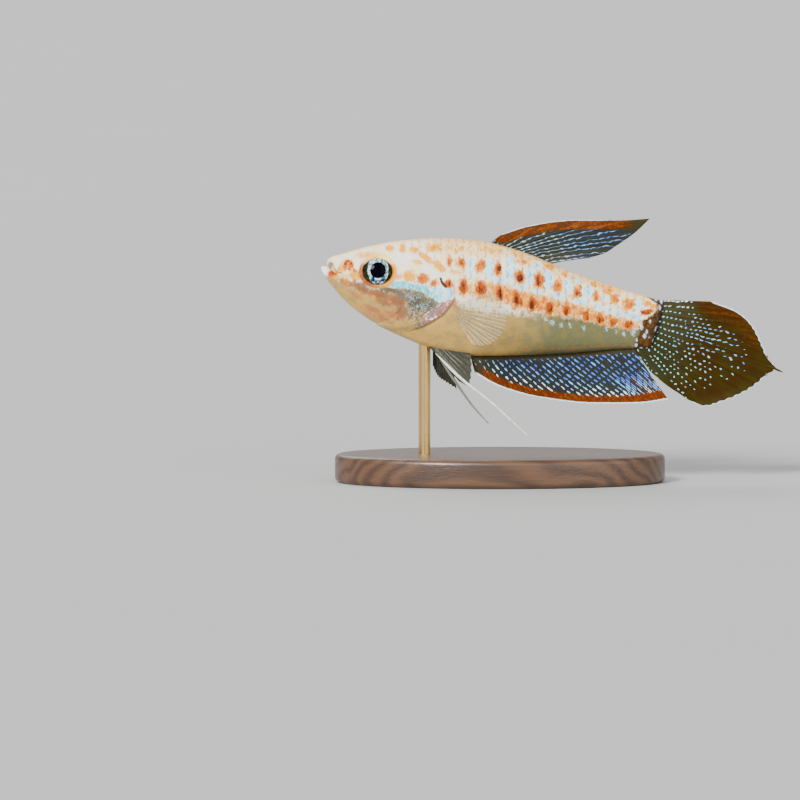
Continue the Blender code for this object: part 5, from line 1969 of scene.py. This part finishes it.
@dataclass
class DisplayStand:
    """The oval base and the one rod that hold the fish."""

    length: float = 28.0
    width: float = 16.0
    height: float = 2.4
    round_edge: float = 0.45
    rod_x: float = -6.4
    rod_radius: float = 0.5
    socket: float = 0.9
    sides: int = 160
    edge_steps: int = 9
    face_steps: int = 8
    rod_rings: int = 24
    rod_sides: int = 48

    def base(self) -> Piece:
        """The base: its section, an upright slab with round edges, scaled round an oval.

        Returns:
            The piece.
        """
        corner = np.linspace(0, math.pi / 2, self.edge_steps)
        turned_in, turned_up = (self.round_edge * (1 - f(corner)) for f in (np.sin, np.cos))
        rings_in = np.linspace(self.width / 2 - 0.05, self.round_edge + 0.6, self.face_steps)
        inset = np.concatenate([rings_in, turned_in, turned_up, rings_in[::-1]])
        flat = 0 * rings_in
        z = np.concatenate([flat, turned_up, self.height - turned_in, self.height + flat])
        turn = np.linspace(0, 2 * math.pi, self.sides, endpoint=False)[None, :]
        x = (self.length / 2 - inset[:, None]) * np.cos(turn)
        y = (self.width / 2 - inset[:, None]) * np.sin(turn)
        points = np.stack([x, y, z[:, None] + 0 * x], -1)
        surface = Surface(points.reshape(-1, 3), ring_faces(len(z), self.sides))
        made = surface.piece("stand_walnut_base", Slot.WOOD, WalnutFinish().material())
        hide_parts("stand_base")
        return made

    def rod(self) -> Piece:
        """The rod, a round bar from inside the base to inside the belly.

        Returns:
            The piece.
        """
        low, high = self.height - self.socket + BODY.gap, float(BODY.belly(self.rod_x)) + self.socket
        z = np.linspace(low, high, self.rod_rings)
        path = np.stack([0 * z + self.rod_x, 0 * z, z], -1)
        surface = tube(path, np.full(self.rod_rings, self.rod_radius), self.rod_sides)
        made = surface.piece("stand_brass_rod", Slot.BRASS, BrassFinish().material())
        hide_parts("stand_rod")
        return made


@dataclass
class Studio:
    """A plain pale floor, soft lights and the camera at the photograph's angle.

    suns: each sun's name, strength, width, tilt and swing.
    """

    aim: tuple = (-8.475, 0.0, 6.949)
    distance: float = 600.0
    elevation: float = 4.0
    view_width: float = 67.8
    sensor: float = 36.0
    floor_half: float = 6000.0
    floor_grey: Colour = (0.46, 0.46, 0.45)
    floor_steps: int = 9
    world_strength: float = 0.6
    world_colour: tuple = (0.94, 0.97, 1.0, 1.0)
    suns: tuple = (
        ("key", 5.2, 18.0, 58.0, -28.0), ("fill", 1.4, 60.0, 70.0, 42.0), ("back", 1.3, 40.0, -45.0, 20.0),
    )

    def floor(self) -> None:
        """The floor, a flat sheet with a faint mottle."""
        t = Tree("floor_finish")
        colour = t.shade(self.floor_grey, t.noise(t.place(), 0.02) * 0.06 + 0.97)
        material = t.finish({"Base Color": colour}, {"Roughness": 0.8, "Specular IOR Level": 0.2})
        n = self.floor_steps
        side = np.linspace(-self.floor_half, self.floor_half, n)
        x, y = np.meshgrid(side, side, indexing="ij")
        points = np.stack([x, y, 0 * x - 0.01], -1).reshape(-1, 3)
        a = np.arange(n * n).reshape(n, n)[:-1, :-1].ravel()
        faces = np.stack([a, a + n, a + n + 1, a + 1], -1).tolist()
        mesh = bpy.data.meshes.new("floor")
        mesh.from_pydata((points * MM).tolist(), [], faces)
        mesh.materials.append(material)
        made = bpy.data.objects.new("floor", mesh)
        bpy.context.scene.collection.objects.link(made)

    def sun(self, name: str, strength: float, width: float, tilt: float, swing: float) -> None:
        """A broad soft sun.

        Args:
            name: its name.
            strength: its strength.
            width: how wide it looks, in degrees.
            tilt: degrees down from straight above, towards the camera's side.
            swing: degrees of turn about the vertical.
        """
        lamp = bpy.data.lights.new(name, "SUN")
        lamp.energy, lamp.angle = strength, math.radians(width)
        made = bpy.data.objects.new(name, lamp)
        made.rotation_euler = (math.radians(tilt), 0.0, math.radians(swing))
        bpy.context.scene.collection.objects.link(made)

    def lights(self) -> None:
        """A pale world, a key from the front left, a fill from the front right and one from behind."""
        world = bpy.data.worlds.new("pale")
        world.use_nodes = True
        sky = world.node_tree.nodes["Background"]
        sky.inputs["Color"].default_value = self.world_colour
        sky.inputs["Strength"].default_value = self.world_strength
        bpy.context.scene.world = world
        for sun in self.suns:
            self.sun(*sun)

    def camera(self) -> None:
        """The camera, level with the fish's flank and a little above it, from the left."""
        data = bpy.data.cameras.new("camera")
        data.sensor_width = self.sensor
        data.lens = self.sensor * self.distance / self.view_width
        data.clip_start, data.clip_end = 0.01, 20.0
        made = bpy.data.objects.new("camera", data)
        tilt = math.radians(self.elevation)
        away = Vector((0.0, -math.cos(tilt), math.sin(tilt))) * self.distance
        made.location = (Vector(self.aim) + away) * MM
        made.rotation_euler = (-away).to_track_quat("-Z", "Y").to_euler()
        bpy.context.scene.collection.objects.link(made)
        bpy.context.scene.camera = made


def middle_fins() -> None:
    """Builds the dorsal, anal and tail fins."""
    dorsal_tips = (
        (0.0, 0.15, 21.0), (0.15, 2.5, 21.72), (0.32, 6.45, 22.2), (0.42, 10.2, 22.17), (0.48, 12.68, 22.33),
        (0.62, 11.45, 21.15), (0.8, 9.9, 20.05), (0.9, 8.8, 19.36), (1.0, 7.45, 18.96),
    )
    dorsal = DorsalFin(
        "dorsal_blade", "dorsal_fin", dorsal_tips, 9, bow=(-0.1, 0.18), columns_a_ray=14, margin=(0.0, 0.48),
    )
    finish = SpottedFinFinish(
        "dorsal_finish", period=0.6, half_long=0.2, half_wide=0.047, hem=0.045, stagger=0.382, thread=0.42,
        waver=0.7, lanes=0.76, flame=(0.2, 0.046, 0.003), rust=(0.08, 0.02, 0.002),
        membrane=(0.02, 0.014, 0.004), deep=(0.025, 0.12, 0.55), pale=(0.26, 0.46, 0.6),
        white=(0.32, 0.41, 0.38),
    )
    dorsal.build(Slot.SPOTTED_FIN, finish.material())
    anal_tips = (
        (0.0, -2.1, 9.2), (0.1, -0.1, 8.08), (0.26, 3.4, 7.08), (0.5, 7.9, 6.6), (0.76, 11.8, 6.64),
        (1.0, 14.3, 6.98),
    )
    anal = AnalFin("anal_web", "anal_fin", anal_tips, 24, bow=(-0.06, -0.06), scallop=0.07)
    finish = SpottedFinFinish(
        "anal_finish", period=0.49, half_long=0.19, half_wide=0.07, lanes=1.15, skew=0.55,
        membrane=(0.024, 0.014, 0.006), flame=(0.2, 0.046, 0.002),
    )
    anal.build(Slot.SPOTTED_FIN, finish.material())
    tail_tips = (
        (0.0, 18.05, 15.3), (0.12, 20.15, 14.45), (0.24, 21.5, 13.2), (0.37, 22.38, 11.45),
        (0.455, 22.9, 10.22), (0.505, 23.4, 9.62), (0.555, 22.85, 9.15), (0.62, 22.0, 8.33),
        (0.72, 20.55, 7.4), (0.82, 18.75, 6.68), (0.9, 17.45, 6.34), (0.935, 16.45, 6.66),
        (0.965, 15.35, 7.34), (0.985, 14.0, 8.28), (1.0, 12.86, 9.22),
    )
    tail = TailFin(
        "tail_fan", "caudal_fin", tail_tips, 14, columns_a_ray=12, rows=72, scallop=0.12, lobes=2,
        margin=(0.0, 0.9), fork=0.52,
    )
    finish = SpottedFinFinish(
        "tail_finish", period=0.33, half_long=0.09, half_wide=0.057, density=0.9, waver=0.7, hem=0.13,
        lanes=0.84, growth=0.1, membrane=(0.034, 0.015, 0.0006), olive=(0.032, 0.022, 0.0008),
        flame=(0.12, 0.026, 0.0008), rust=(0.055, 0.014, 0.0006), deep=(0.05, 0.3, 0.85),
        pale=(0.4, 0.8, 0.9), edge=(0.6, 0.78, 0.76), root=(0.098, 0.082, 0.028),
        haze=(0.022, 0.038, 0.018), haze_ends=(4.4, 1.2),
    )
    tail.build(Slot.SPOTTED_FIN, finish.material())


def paired_fins() -> None:
    """Builds the pectoral and pelvic fins of both sides."""
    fan = ClearFinFinish("pectoral_finish", film=0.16, line=(0.11, 0.0), tint=(0.34, 0.31, 0.17), patchy=1.4)
    web = ClearFinFinish(
        "pelvic_finish", film=0.94, bone=0.98, line=(0.17, 0.02), fading=90.0, tint=(0.026, 0.027, 0.013),
        ray_colour=(0.78, 0.78, 0.68), patchy=1.2,
    )
    clear, dark = fan.material(), web.material()
    for side in Side:
        word = side.name.lower()
        PectoralFin(
            f"pectoral_fan_{word}", f"pectoral_fin_{word}", (), 11, side=side, inset=0.35, film=0.025,
            ridge=0.035, columns_a_ray=12, scallop=0.12,
        ).build(Slot.CLEAR_FIN, clear)
    left_tips = ((0.0, -3.45, 8.6), (0.4, -2.7, 8.25), (0.75, -2.4, 9.85), (1.0, -2.5, 11.4))
    right_tips = ((0.0, -5.7, 9.8), (0.35, -5.25, 8.85), (0.7, -4.5, 8.3), (1.0, -3.65, 7.75))
    left_feeler = ((-5.45, 10.95), (-4.5, 9.98), (-3.3, 8.85), (-0.85, 6.95), (0.71, 5.57), (2.33, 4.11))
    right_feeler = ((-5.3, 10.7), (-4.5, 9.5), (-3.75, 8.35), (-2.3, 6.3), (-0.95, 4.75))
    for side, tips, feeler in ((Side.LEFT, left_tips, left_feeler), (Side.RIGHT, right_tips, right_feeler)):
        word = side.name.lower()
        PelvicFin(
            f"pelvic_web_{word}", f"pelvic_fin_{word}", tips, 11, side=side, feeler=feeler, inset=1.2,
            columns_a_ray=10, scallop=0.1, ridge=0.03,
        ).build(Slot.CLEAR_FIN, dark)


def main() -> None:
    """Builds every sub-assembly in order."""
    logging.basicConfig(level=logging.INFO, format="%(message)s")
    studio = Studio()
    studio.camera()
    studio.lights()
    studio.floor()
    Skin().build()
    Scales().build()
    eye_material = EyeFinish().material()
    for side in Side:
        Eye(side).build(eye_material)
    middle_fins()
    paired_fins()
    stand = DisplayStand()
    stand.base()
    stand.rod()


if __name__ == "__main__":
    main()
